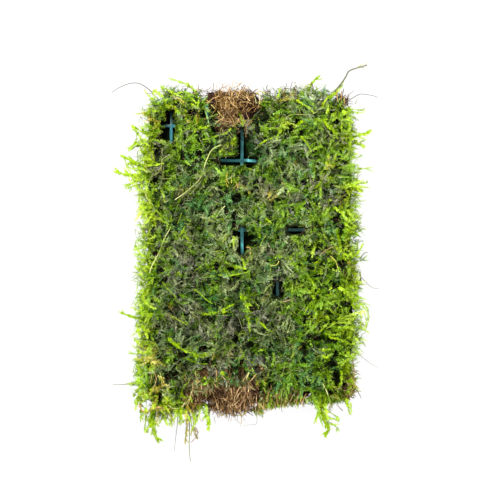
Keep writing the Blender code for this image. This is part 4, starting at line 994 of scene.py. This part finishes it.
def pick_kind(rng, points, lime_gain=0.0):
    """Kind and lightness for growth at each point, by the patches and the distance to the pad's sides."""
    x, count = points[:, 0], len(points)
    edge = np.maximum(step_between(-x, *LEFT_SIDE), step_between(x, *RIGHT_SIDE))
    inner = 1 - edge
    lime, lush, olive, teal, ochre, dusk = (patch_weight(patches, points) for patches in KIND_PATCHES.values())
    weights = {
        TAN: 0.015 + 0.06 * dusk,
        OCHRE: 0.03 + 0.40 * ochre + 0.04 * edge,
        DUSK: (0.06 + 0.68 * dusk) * inner,
        OLIVE: (0.34 - 0.16 * lush + 0.42 * olive * (1 - 0.6 * lush)) * inner,
        TEAL: (0.15 + 0.60 * teal) * inner,
        GREEN: 0.30 + 0.62 * lush + 0.1 * edge,
        LIME: 0.04 + 0.75 * edge + 0.46 * lime + lime_gain,
    }
    warmth = mottle(points, size=13.0, seed=51)
    scores = []
    for kind, weight in weights.items():
        cluster = 0.50 * mottle(points, size=9.0, seed=100 + kind) + 0.42 * mottle(points, size=3.6, seed=200 + kind)
        cluster += WARM_GAIN.get(kind, 0) * warmth
        scores.append(np.log(weight + 1e-3) + cluster + 0.28 * rng.gumbel(0, 1, count))
    kind = np.array(list(weights))[np.argmax(scores, axis=0)]
    light = LIGHTNESS + 0.055 * mottle(points, size=7.0, seed=11) + 0.045 * mottle(points, size=3.0, seed=12)
    light += rng.normal(0, 0.07, count)
    light += SIDE_GAIN * edge - DARK_PATCH_LOSS * patch_weight(DARK_PATCHES, points)
    light += LIGHT_PATCH_GAIN * patch_weight(LIGHT_PATCHES, points) * np.where(kind == LIME, 0.3, 1.0)
    # Painted shade on growth that lies low between the sides, in the hollows of the top
    light -= LOW_PAINTED_SHADE * step_between(points[:, 2], *LOW_BAND) * inner + TAN_LOSS * (kind == TAN)
    warm = 0.35 * warmth + 0.25 * rng.normal(0, 1, count) + signed_weight(WARM_PATCHES, points)
    return kind + TINT_REACH * np.clip(warm, -1, 1), np.clip(light, 0.04, 0.95)


def outer_faces(middles, normals):
    return (normals[:, 2] > FACING_DOWN) & (middles[:, 2] > UNDERSIDE_TOP)


def rooted(rng, count, keep, thinned=1.0, surface=cushion):
    """Places on a surface that see the air, fewer where brown stems stand free, with their normals and vigour."""
    points, normals = surface.sample(rng, count, keep)
    seen = open_to_air(points, normals)
    seen &= rng.random(count) > thinned * patch_weight(BROWN_PATCHES, points)
    vigour = mottle(points, size=4.2, seed=21)
    seen &= vigour > BALD_VIGOUR
    return points[seen], normals[seen], vigour[seen]


def notch(points):
    return signed_weight(NOTCHES, points)


def moved_in(places, points, normals, inset):
    """The places moved inwards from their side of the pad, and up the pad where RIM_INSET says so."""
    x, y = points[:, 0], points[:, 1]
    moved = places - sideways(normals) * inset[:, None]
    begin, full, last, end = RIM_INSET_STRETCH
    stretch = step_between(x, begin, full) * step_between(x, end, last)
    moved[:, 1] += RIM_INSET * stretch * step_between(y, *RIM_INSET_BAND)
    return moved


def drawn_in(points, normals, release=0.0):
    """The points moved inwards by what their side of the pad is drawn in, less the release."""
    x, y = normals[:, 0], normals[:, 1]
    inset = np.where(x < 0, LEFT_INSET, RIGHT_INSET) * x**2 + np.where(y > 0, TOP_INSET, BOTTOM_INSET) * y**2
    return moved_in(points, points, normals, np.maximum(inset + notch(points) - release, 0))


def carpet(rng, count, length, rise, span, bare, depth, lime_gain=0.0, thinned=0.9):
    """Shoots rooted under the cushion's surface that come out through it, over the top and the sides alike."""
    points, normals, vigour = rooted(rng, count, outer_faces, thinned)
    count = len(points)
    tangent = unit(np.cross(normals, rng.normal(0, 1, (count, 3))))
    steep = np.abs(normals[:, 2]) < 0.5
    tangent[steep] = unit(tangent[steep] + UP * rng.uniform(-0.9, 0.5, (steep.sum(), 1)))
    slope = np.radians(rng.uniform(*rise, count))[:, None]
    heading = unit(normals * np.sin(slope) + tangent * np.cos(slope))
    reach = rng.uniform(*length, count) * np.clip(1 + 0.22 * vigour, 0.6, 1.4)
    start = drawn_in(points, normals) - normals * rng.uniform(*depth, count)[:, None]
    start -= tangent * (reach * 0.35)[:, None]
    face = unit(normals + rng.normal(0, 0.45, (count, 3)))
    curve = stems_from(rng, start, heading, face, reach, wander=0.35, sag=0.12)
    kind, light = pick_kind(rng, points, lime_gain)
    # Painted shade and light: where the vigour field makes shoots short, in pits, they are darker, and where it makes
    # them long, lighter
    light = light + 0.04 * vigour
    return Shoots(curve, face, rng.uniform(*span, count), np.full(count, bare), kind, light, points, normals)


def side_faces(low, high):
    """The sides between two heights, thick with growth to the left and right and at the bottom left corner."""

    def keep(middles, normals):
        x, y, z = middles.T
        density = np.where(np.abs(y) > PAD_HALF_LENGTH - END_DEPTH, END_DENSITY, 1.0)
        density[(y < END_DEPTH - PAD_HALF_LENGTH) & (x < LEFT_CORNER_END)] = LEFT_CORNER_DENSITY
        return density * (np.abs(normals[:, 2]) < 0.75) * (z > low) * (z < high)

    return keep


def fringe(rng, count, length, span, heights=(3.0, 16.0), tilt=0.12, release=FRINGE_RELEASE):
    """Shoots that lean out past the left and right sides, and a few past the ends."""
    points, normals, vigour = rooted(rng, count, side_faces(*heights))
    count = len(points)
    heading = unit(normals * [1, 1, 0.2] + rng.normal(0, 0.55, (count, 3)) * [1, 1, 0.8] + UP * tilt)
    reach = rng.uniform(*length, count) * np.clip(1 + 0.3 * vigour, 0.5, 1.6)
    start = drawn_in(points, normals, release)
    start -= sideways(normals) * (reach * rng.uniform(0.4, 0.9, count))[:, None]
    face = unit(UP + rng.normal(0, 0.6, (count, 3)))
    curve = stems_from(rng, start, heading, face, reach, wander=0.45, sag=0.16)
    kind, light = pick_kind(rng, points, lime_gain=0.25)
    corner = (points[:, 0] < LEFT_CORNER_END) & (points[:, 1] < LEFT_CORNER_DEPTH - PAD_HALF_LENGTH)
    kind = np.where(corner, rng.choice([LIME, LIME, LIME, OCHRE, GREEN], count) + 0.25, kind)
    light += 0.02 + 0.05 * (np.abs(points[:, 1]) > PAD_HALF_LENGTH - END_DEPTH)
    flat = np.tile(UP, (count, 1))
    return Shoots(curve, face, rng.uniform(*span, count), np.full(count, 0.15), kind, light, points - flat, flat)


def rim(rng, count):
    """Low growth over the mat's edge where it comes out from under the green at the bottom."""

    def keep(middles, normals):
        x, y = middles[:, 0], middles[:, 1]
        edge = (y < RIM_DEPTH - PAD_HALF_LENGTH) & ((x < RIM_GAP[0]) | (x > RIM_GAP[1]))
        corner = (x > RIGHT_CORNER_START) & (y < RIGHT_CORNER_TOP)
        return (normals[:, 2] > FACING_DOWN) * (edge | corner)

    points, normals, _ = rooted(rng, count, keep, 0.8, mat)
    count = len(points)
    heading = unit(normals + rng.normal(0, 0.6, (count, 3)) - np.array([0, 0.3, 0]))
    reach = rng.uniform(3, 6, count)
    start = moved_in(points - heading * (reach * 0.6)[:, None], points, normals, notch(points))
    face = unit(UP + rng.normal(0, 0.5, (count, 3)))
    curve = stems_from(rng, start, heading, face, reach, wander=0.4, sag=0.1)
    outer = (points[:, 1] < OUTER_RIM_DEPTH - PAD_HALF_LENGTH) | (points[:, 0] > RIGHT_CORNER_START)
    kinds = rng.choice([OCHRE, TAN, GREEN, LIME], count), rng.choice([GREEN, GREEN, LIME, OLIVE], count)
    light = np.clip(rng.normal(0.46, 0.09, count), 0, 1)
    span = rng.uniform(1.3, 1.9, count)
    return Shoots(curve, face, span, np.full(count, 0.1), np.where(outer, *kinds), light, start, normals)


def route_shoots(rng, span, route, kind, light, branches=0):
    """One long shoot along a route, as Bezier stretches that follow each other."""
    count = max(1, len(route) // 3)
    picks = np.linspace(0, len(route) - 1, 3 * count + 1)
    knots = np.array([route[int(round(pick))] for pick in picks])
    stretches = []
    for k in range(count):
        a, b, c, d = knots[3 * k : 3 * k + 4]
        stretches.append([a, (-5 * a + 18 * b - 9 * c + 2 * d) / 6, (2 * a - 9 * b + 18 * c - 5 * d) / 6, d])
    curve = np.array(stretches)
    share = (np.arange(count) + 0.5) / count
    up = np.tile(UP, (count, 1))
    face = unit(up + rng.normal(0, 0.15, (count, 3)))
    lights = np.clip(light + 0.1 * share, 0, 1)
    spans = span * (1 - 0.35 * share**2)
    made = Shoots(curve, face, spans, np.zeros(count), np.full(count, kind), lights, curve[:, 0] - up, up)
    return with_branches(rng, made, branches, 1, 0.8) if branches else made


def over_top(route, clearance, step=1.2):
    """A plan route laid a little over the cushion's top, or at EDGE_HEIGHT past its sides."""
    plan = smooth_route([(x, y, 0) for x, y in route], step)
    floor = EDGE_HEIGHT + 1.2 * mottle(plan, size=11.0, seed=31)
    heights = [max(low, *(cushion.top(x + dx, y) for dx in (-0.8, 0, 0.8))) for (x, y, _), low in zip(plan, floor)]
    smooth = np.convolve(np.pad(heights, 2, "edge"), np.ones(5) / 5, "valid")
    return np.column_stack([plan[:, :2], np.maximum(smooth, np.array(heights) - 0.6) + clearance])


def build_cushion(rng, moss):
    """The green growth, from short and dense to long and loose."""
    undergrowth = carpet(rng, 4600, (4.0, 7.0), (10, 70), span=(1.5, 2.1), bare=0.1, depth=(1.4, 2.6), thinned=0.8)
    # Painted shade: the undergrowth beneath the other shoots is darker
    undergrowth.light -= 0.16
    first, second = (
        carpet(rng, 6200, (3.2, 5.6), (30, 85), span=(1.3, 1.9), bare=0.25, depth=(0.2, 1.6)) for _ in range(2)
    )
    loose = carpet(rng, 1500, (5.0, 9.0), (5, 40), span=(1.5, 2.2), bare=0.2, depth=(0.0, 0.8), lime_gain=0.10)
    sprays = with_branches(rng, loose, share=0.6, per_shoot=2, size=0.5)
    sprays.light += 0.06
    for name, group, spacing in (
        ("moss_undergrowth", undergrowth, 0.30),
        ("moss_short_shoots_1", first, 0.22),
        ("moss_short_shoots_2", second, 0.22),
        ("moss_sprays", sprays, 0.20),
    ):
        piece(name, [leaf_parts(*clear_openings(rng, *leaf_mesh(rng, group, spacing)))], moss)


def build_fringe(rng, moss):
    """Short and long shoots along the sides, a skirt of drooping ones below, and the rim's growth."""
    short = fringe(rng, 900, (3.5, 6.0), (1.6, 2.3))
    long = with_branches(rng, fringe(rng, 480, (6.0, 10.5), (1.6, 2.4)), share=0.5, per_shoot=1, size=0.5)
    skirt = fringe(rng, 1100, (2.5, 5.0), (1.4, 2.0), heights=(0.0, 8.0), tilt=-0.7, release=-1.0)
    group = Shoots.join([short, long, skirt, rim(rng, 1300)])
    paths = stem_paths(group.curve, 5)
    group = group.take(clear_stems(paths) & (paths[..., 2].max(axis=1) < FRINGE_TOP))
    leaves = leaf_parts(*clear_openings(rng, *leaf_mesh(rng, group, 0.19)))
    piece("moss_fringe", [leaves, stem_parts(group, 0.28)], moss)


def build_long_shoots(rng, moss):
    """The single shoots that stand out past the edge or lie over the top, where the CAD has them, and the sprigs."""
    groups = []
    for name, (span, *route) in EDGE_SHOOTS.items():
        path = smooth_route(route, 1.2)
        loose = np.linspace(0.8, 0.15, len(path))[:, None]
        kind = OCHRE if name in BROWN_SHOOTS else LIME
        for _ in range(STRANDS.get(name, 1)):
            strand = path + rng.normal(0, 1, 3) * loose * [1, 1, 0.4]
            groups.append(route_shoots(rng, span * 0.85, strand, kind, rng.uniform(0.32, 0.46), branches=0.7))
    for span, *route in TOP_SHOOTS.values():
        groups.append(route_shoots(rng, span, over_top(route, 0.9), LIME, 0.32, branches=0.5))
    for kind, light, span, *route in SPRIGS:
        inside = np.all(np.abs(np.mean(route, axis=0)) < SPRIG_SHADE)
        groups.append(route_shoots(rng, span * 1.2, over_top(route, 0.7, 0.7), kind, light - 0.09 - 0.10 * inside))
    shoots = Shoots.join(groups)
    corners, uv = leaf_mesh(rng, shoots, 0.14, jitter=0.15)
    clear = ellipse_reach(corners[:, 2], *GROUND_GAP) >= 1
    parts = [leaf_parts(corners[clear], uv[clear]), stem_parts(shoots, 0.34)]
    piece("moss_long_shoots", parts, moss, [*EDGE_SHOOTS, *TOP_SHOOTS])


def build_bare_stems(rng, stems):
    """Straw-coloured stems over the top, twigs, and thread-like stems past the edge."""
    parts = []
    for thickness, *route in TOP_STEMS.values():
        parts.append(one_tube(over_top(route, 1.0), thickness, STRAW, 0.66, sides=6, taper=0.3))
    for kind, light, thickness, *route in TWIGS:
        parts.append(one_tube(over_top(route, 1.0, 0.6), thickness, kind, light, sides=5, taper=0.4))
    for thickness, kind, light, *route in THREADS.values():
        path = smooth_route(route, 0.8)
        path = path + np.cumsum(rng.normal(0, 0.02, path.shape), axis=0)
        parts.append(one_tube(path, thickness, kind, light, sides=6, taper=0.35))
    piece("bare_stems", parts, stems, [*TOP_STEMS, *THREADS])


def fibre_paths(rng, start, heading, length, curl, knots):
    """Wiry stems: paths that keep turning a little as they go."""
    count = len(start)
    step = (length / (knots - 1))[:, None]
    way = heading.copy()
    turn = rng.normal(0, curl, (count, 3))
    points = [start]
    for _ in range(knots - 1):
        turn = 0.75 * turn + rng.normal(0, curl * 0.6, (count, 3))
        way = unit(way + turn)
        points.append(points[-1] + way * step)
    return np.stack(points, axis=1)


def build_free_stems(rng, stems):
    """Old stems that stand free of the green: curly at the top edge, combed outwards at the bottom edge."""
    on_mat, on_cushion = 1200, 1500

    def exposed(middles, normals):
        return patch_weight(BROWN_PATCHES, middles) ** 2 * (normals[:, 2] > 0.0)

    sampled = [mat.sample(rng, on_mat, exposed), cushion.sample(rng, on_cushion, exposed)]
    points, normals = (np.concatenate(column) for column in zip(*sampled))
    count = len(points)
    bottom = points[:, 1] < 0

    def by_end(combed, curly):
        return np.where(bottom, combed, curly)

    lift = rng.uniform(-0.8, 0.9, count)
    lift[on_mat:] += 1.2
    heading = rng.normal(0, 1, (count, 3)) * [1, 1, 0.35]
    heading[bottom] = rng.normal(0, 0.45, (bottom.sum(), 3)) * [1, 0.5, 0.6] - np.array([0, 1.0, -0.05])
    heading = unit(heading)
    length = by_end(rng.uniform(6, 11, count), rng.uniform(3.5, 7, count))
    start = points + normals * lift[:, None] - heading * (length * by_end(0.65, 0.8))[:, None]
    inset = np.where(rng.random(count) < by_end(0.75, 0.93), by_end(FELT_INSET, CURLY_INSET), 0)
    start = moved_in(start, points, normals, inset)
    paths = fibre_paths(rng, start, heading, length, by_end(0.10, 0.36)[:, None], 8)
    paths[..., 2] = np.maximum(paths[..., 2], 0.3)
    height = np.clip(((start - points) * normals).sum(axis=1), -1, 1)
    thick = bottom & (rng.random(count) < 0.3)
    kind = np.where(rng.random(count) < by_end(0.45 - 0.35 * thick, 0.22), BARK, by_end(TAN + 0.2, RUST))
    # Painted shade: stems that start deeper in the growth are darker, those standing out lighter
    light = rng.normal(by_end(0.40, 0.45), by_end(0.31, 0.25)) + 0.14 * height + 0.12 * thick
    radii = np.where(thick, rng.uniform(0.22, 0.34, count), rng.uniform(0.11, 0.20, count))
    piece("free_brown_stems", [tube_parts(paths, radii, kind, light)], stems)


def build_mat_felt(rng, stems):
    """Old stems that lie felted along the mat's sides."""

    def sides(middles, normals):
        return (middles[:, 2] > 0.3) * (normals[:, 2] > -0.6) * (normals[:, 2] < 0.6)

    points, normals = mat.sample(rng, 1700, sides)
    count = len(points)
    heading = unit(np.cross(normals, rng.normal(0, 1, (count, 3))))
    start = points + normals * rng.uniform(-0.5, 0.3, (count, 1)) - heading * 2.5
    start = moved_in(start, points, normals, FELT_INSET + notch(points))
    paths = fibre_paths(rng, start, heading, rng.uniform(4, 8, count), 0.12, 6)
    paths[..., 2] = np.maximum(paths[..., 2], 0.25)
    kind = np.where(rng.random(count) < 0.3, TAN, BARK)
    lower = tube_parts(paths, rng.uniform(0.13, 0.22, count), kind, rng.normal(0.34, 0.16, count))
    piece("felted_brown_stems", [lower], stems)


def build_tangle(rng, stems):
    """Thin bare stems that thread the green growth."""
    points, normals, _ = rooted(rng, 3400, outer_faces, 0.3)
    count = len(points)
    heading = unit(np.cross(normals, rng.normal(0, 1, (count, 3))) + normals * rng.uniform(-0.1, 0.5, (count, 1)))
    length = rng.uniform(2.5, 6.5, count)
    start = points + normals * rng.uniform(-0.4, 1.5, (count, 1)) - heading * (length * 0.5)[:, None]
    paths = fibre_paths(rng, start, heading, length, 0.22, 5)
    kind = rng.choice([STRAW, DUSK, OLIVE, OLIVE, GREEN, GREEN, TEAL, LIME], count)
    kind = np.where(np.abs(points[:, 0]) > GREEN_SIDES, rng.choice([GREEN, LIME], count), kind)
    light = rng.normal(0.52, 0.16, count)
    keep = clear_stems(paths)
    paths, kind, light = paths[keep], kind[keep], light[keep]
    piece("fine_stems", [tube_parts(paths, rng.uniform(0.07, 0.13, len(paths)), kind, light)], stems)


def build_litter(rng, stems):
    """Dead bits that lie at the bottom of the holes and about the net's open stretches."""
    spots = [(x, y, wide, long, 6, HOLE_LITTER_DEPTH) for x, y, wide, long in HOLES]
    spots += [(x, y, wide + 1, long + 1, 24, LITTER_DEPTH) for x, y, wide, long in NET_WINDOWS]
    start = []
    for x, y, wide, long, count, depth in spots:
        places = np.array([x, y]) + rng.uniform(-1, 1, (count, 2)) * [wide, long]
        start += [(px, py, cushion.top(px, py) - depth) for px, py in places]
    count = len(start)
    heading = unit(rng.normal(0, 1, (count, 3)) * [1, 1, 0.25])
    length = rng.uniform(1.0, 3.0, count)
    paths = fibre_paths(rng, np.array(start) - heading * (length / 2)[:, None], heading, length, 0.3, 4)
    kind = rng.choice([BARK, DUSK, DUSK, TAN, OLIVE], count)
    light = rng.normal(0.42, 0.16, count)
    piece("litter", [tube_parts(paths, rng.uniform(0.12, 0.26, count), kind, light)], stems)


# ---------------------------------------------------------------------------------------------------------------
# The dark core painted as the shade deep between the leaves, and the net


def dent(points):
    """How far the holes press the core's top down at each point."""
    reach = np.min([ellipse_reach(points, *hole) for hole in HOLES], axis=0)
    return CORE_DENT * (1 - step_between(reach, *DENT_RIM)) * (points[:, 2] > CORE_TOP_START)


def core_object(name, surface, inset, shares, rng):
    """A CAD solid drawn in along its normals, with finer facets in the holes."""
    form = bmesh.new()
    verts = [form.verts.new(point) for point in surface.points]
    for face in surface.faces:
        try:
            form.faces.new([verts[k] for k in face])
        except ValueError:
            continue

    def refine(longest, wanted):
        """Edges over a length that are wanted by their middles, cut in half."""
        middles = np.array([(edge.verts[0].co + edge.verts[1].co) / 2 for edge in form.edges])
        cut = [edge for edge, take in zip(form.edges, wanted(middles)) if take and edge.calc_length() > longest]
        bmesh.ops.subdivide_edges(form, edges=cut, cuts=1, use_grid_fill=True)
        bmesh.ops.triangulate(form, faces=form.faces)

    bmesh.ops.remove_doubles(form, verts=form.verts, dist=0.001)
    bmesh.ops.recalc_face_normals(form, faces=form.faces)
    refine(CORE_EDGE, lambda middles: np.ones(len(middles), bool))
    for _ in range(2):
        refine(DENT_EDGE, lambda middles: dent(middles) > 0)
    form.normal_update()
    points = np.array([vert.co for vert in form.verts])
    normals = np.array([vert.normal for vert in form.verts])
    for axis, sign, reach, share in zip((0, 0, 1, 1), (-1, 1, 1, -1), CORE_REACH, shares):
        past = np.maximum(sign * points[:, axis] - reach, 0)
        points[:, axis] -= sign * past * (1 - share)
    points[:, 2] -= np.maximum(normals[:, 2], 0) * (inset + dent(points))
    points += normals * rng.uniform(-CORE_ROUGHNESS, CORE_ROUGHNESS, (len(points), 1))
    points[:, 2] = np.maximum(points[:, 2], 0.0)
    for vert, point in zip(form.verts, points):
        vert.co = point * MM
    mesh = bpy.data.meshes.new(name)
    form.to_mesh(mesh)
    form.free()
    return linked(name, mesh)


def build_cores(rng):
    """A dark core painted as the deep shade between the leaves, and the mat's felt."""
    core_shade = core_material("moss_shade_core", CORE_SHADE_COLOURS, 0.35)
    felt = core_material("felted_stems", BROWN_FELT, 0.5)
    for name, surface, node, inset, shares, material, slot in (
        ("moss_shade_core", cushion, "moss_cushion", 1.9, CUSHION_SHARES, core_shade, "moss_green"),
        ("felted_mat", mat, "brown_stem_mat", 1.0, MAT_SHARES, felt, "old_stems"),
    ):
        made = core_object(name, surface, inset, shares, rng)
        made.data.materials.append(material)
        made.data.materials.append(core_shade)
        # Top faces in the middle, of both cores, take the painted deep shade
        for face in made.data.polygons:
            if face.normal.z > 0.5 and abs(face.center.y) < SHADED_HALF_LENGTH * MM:
                face.material_index = 1
        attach(made, "root")
        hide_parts(node)


def build_net():
    """The CAD net with its edges rounded as moulded ones are."""
    made = linked("rounded_net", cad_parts["plastic_net"].data.copy())
    form = bmesh.new()
    form.from_mesh(made.data)
    bmesh.ops.remove_doubles(form, verts=form.verts, dist=1e-6)
    bmesh.ops.dissolve_limit(form, angle_limit=0.01, verts=form.verts, edges=form.edges)
    form.to_mesh(made.data)
    form.free()
    bevel = made.modifiers.new("rounded", "BEVEL")
    bevel.width = NET_ROUNDING * MM
    bevel.segments = 3
    bevel.limit_method = "ANGLE"
    made.data.materials.clear()
    made.data.materials.append(net_material())
    made.data.shade_smooth()
    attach(made, "root")
    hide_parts("plastic_net")


# ---------------------------------------------------------------------------------------------------------------
# Camera, light and floor


def build_stage():
    scene = bpy.context.scene
    camera = linked("camera", bpy.data.cameras.new("camera"))
    camera.data.sensor_width = 36.0
    camera.data.lens = camera.data.sensor_width * (CAMERA_HEIGHT - FOCUS_HEIGHT) / (PIXELS * PIXEL_SIZE)
    camera.data.clip_end = CAMERA_REACH * MM
    camera.location = Vector((*VIEW_CENTRE, CAMERA_HEIGHT)) * MM
    scene.camera = camera

    world = bpy.data.worlds.new("studio")
    world.use_nodes = True
    sky = world.node_tree.nodes["Background"].inputs
    sky["Color"].default_value = (1, 1, 1, 1)
    sky["Strength"].default_value = SKY_LIGHT
    scene.world = world
    scene.view_settings.view_transform = "Standard"

    for name, place, size, power in LAMPS:
        light = bpy.data.lights.new(name, "AREA")
        light.shape = "DISK"
        light.size = size * MM
        light.energy = power
        lamp = linked(name, light)
        lamp.location = Vector(place) * MM
        lamp.rotation_euler = (-lamp.location).to_track_quat("-Z", "Y").to_euler()

    nodes = Nodes("white_floor", roughness=0.9, shine=0.0)
    nodes.feed(nodes.shader, {"Emission Color": (1, 1, 1, 1), "Emission Strength": FLOOR_GLOW})
    mesh = bpy.data.meshes.new("floor")
    half = FLOOR_HALF_SIZE * MM
    mesh.from_pydata([(-half, -half, 0), (half, -half, 0), (half, half, 0), (-half, half, 0)], [], [(0, 1, 2, 3)])
    mesh.materials.append(nodes.coloured((FLOOR_SHADE, FLOOR_SHADE, FLOOR_SHADE, 1)))
    floor = linked("floor", mesh)


moss_material = palette_material("moss_leaves", 0.32)
stem_material = palette_material("old_stems", 0.5)
build_stage()
build_net()
build_cores(np.random.default_rng(1))
build_cushion(np.random.default_rng(2), moss_material)
build_fringe(np.random.default_rng(3), moss_material)
build_long_shoots(np.random.default_rng(4), moss_material)
build_bare_stems(np.random.default_rng(5), stem_material)
build_free_stems(np.random.default_rng(6), stem_material)
build_mat_felt(np.random.default_rng(7), stem_material)
build_tangle(np.random.default_rng(8), stem_material)
build_litter(np.random.default_rng(9), stem_material)
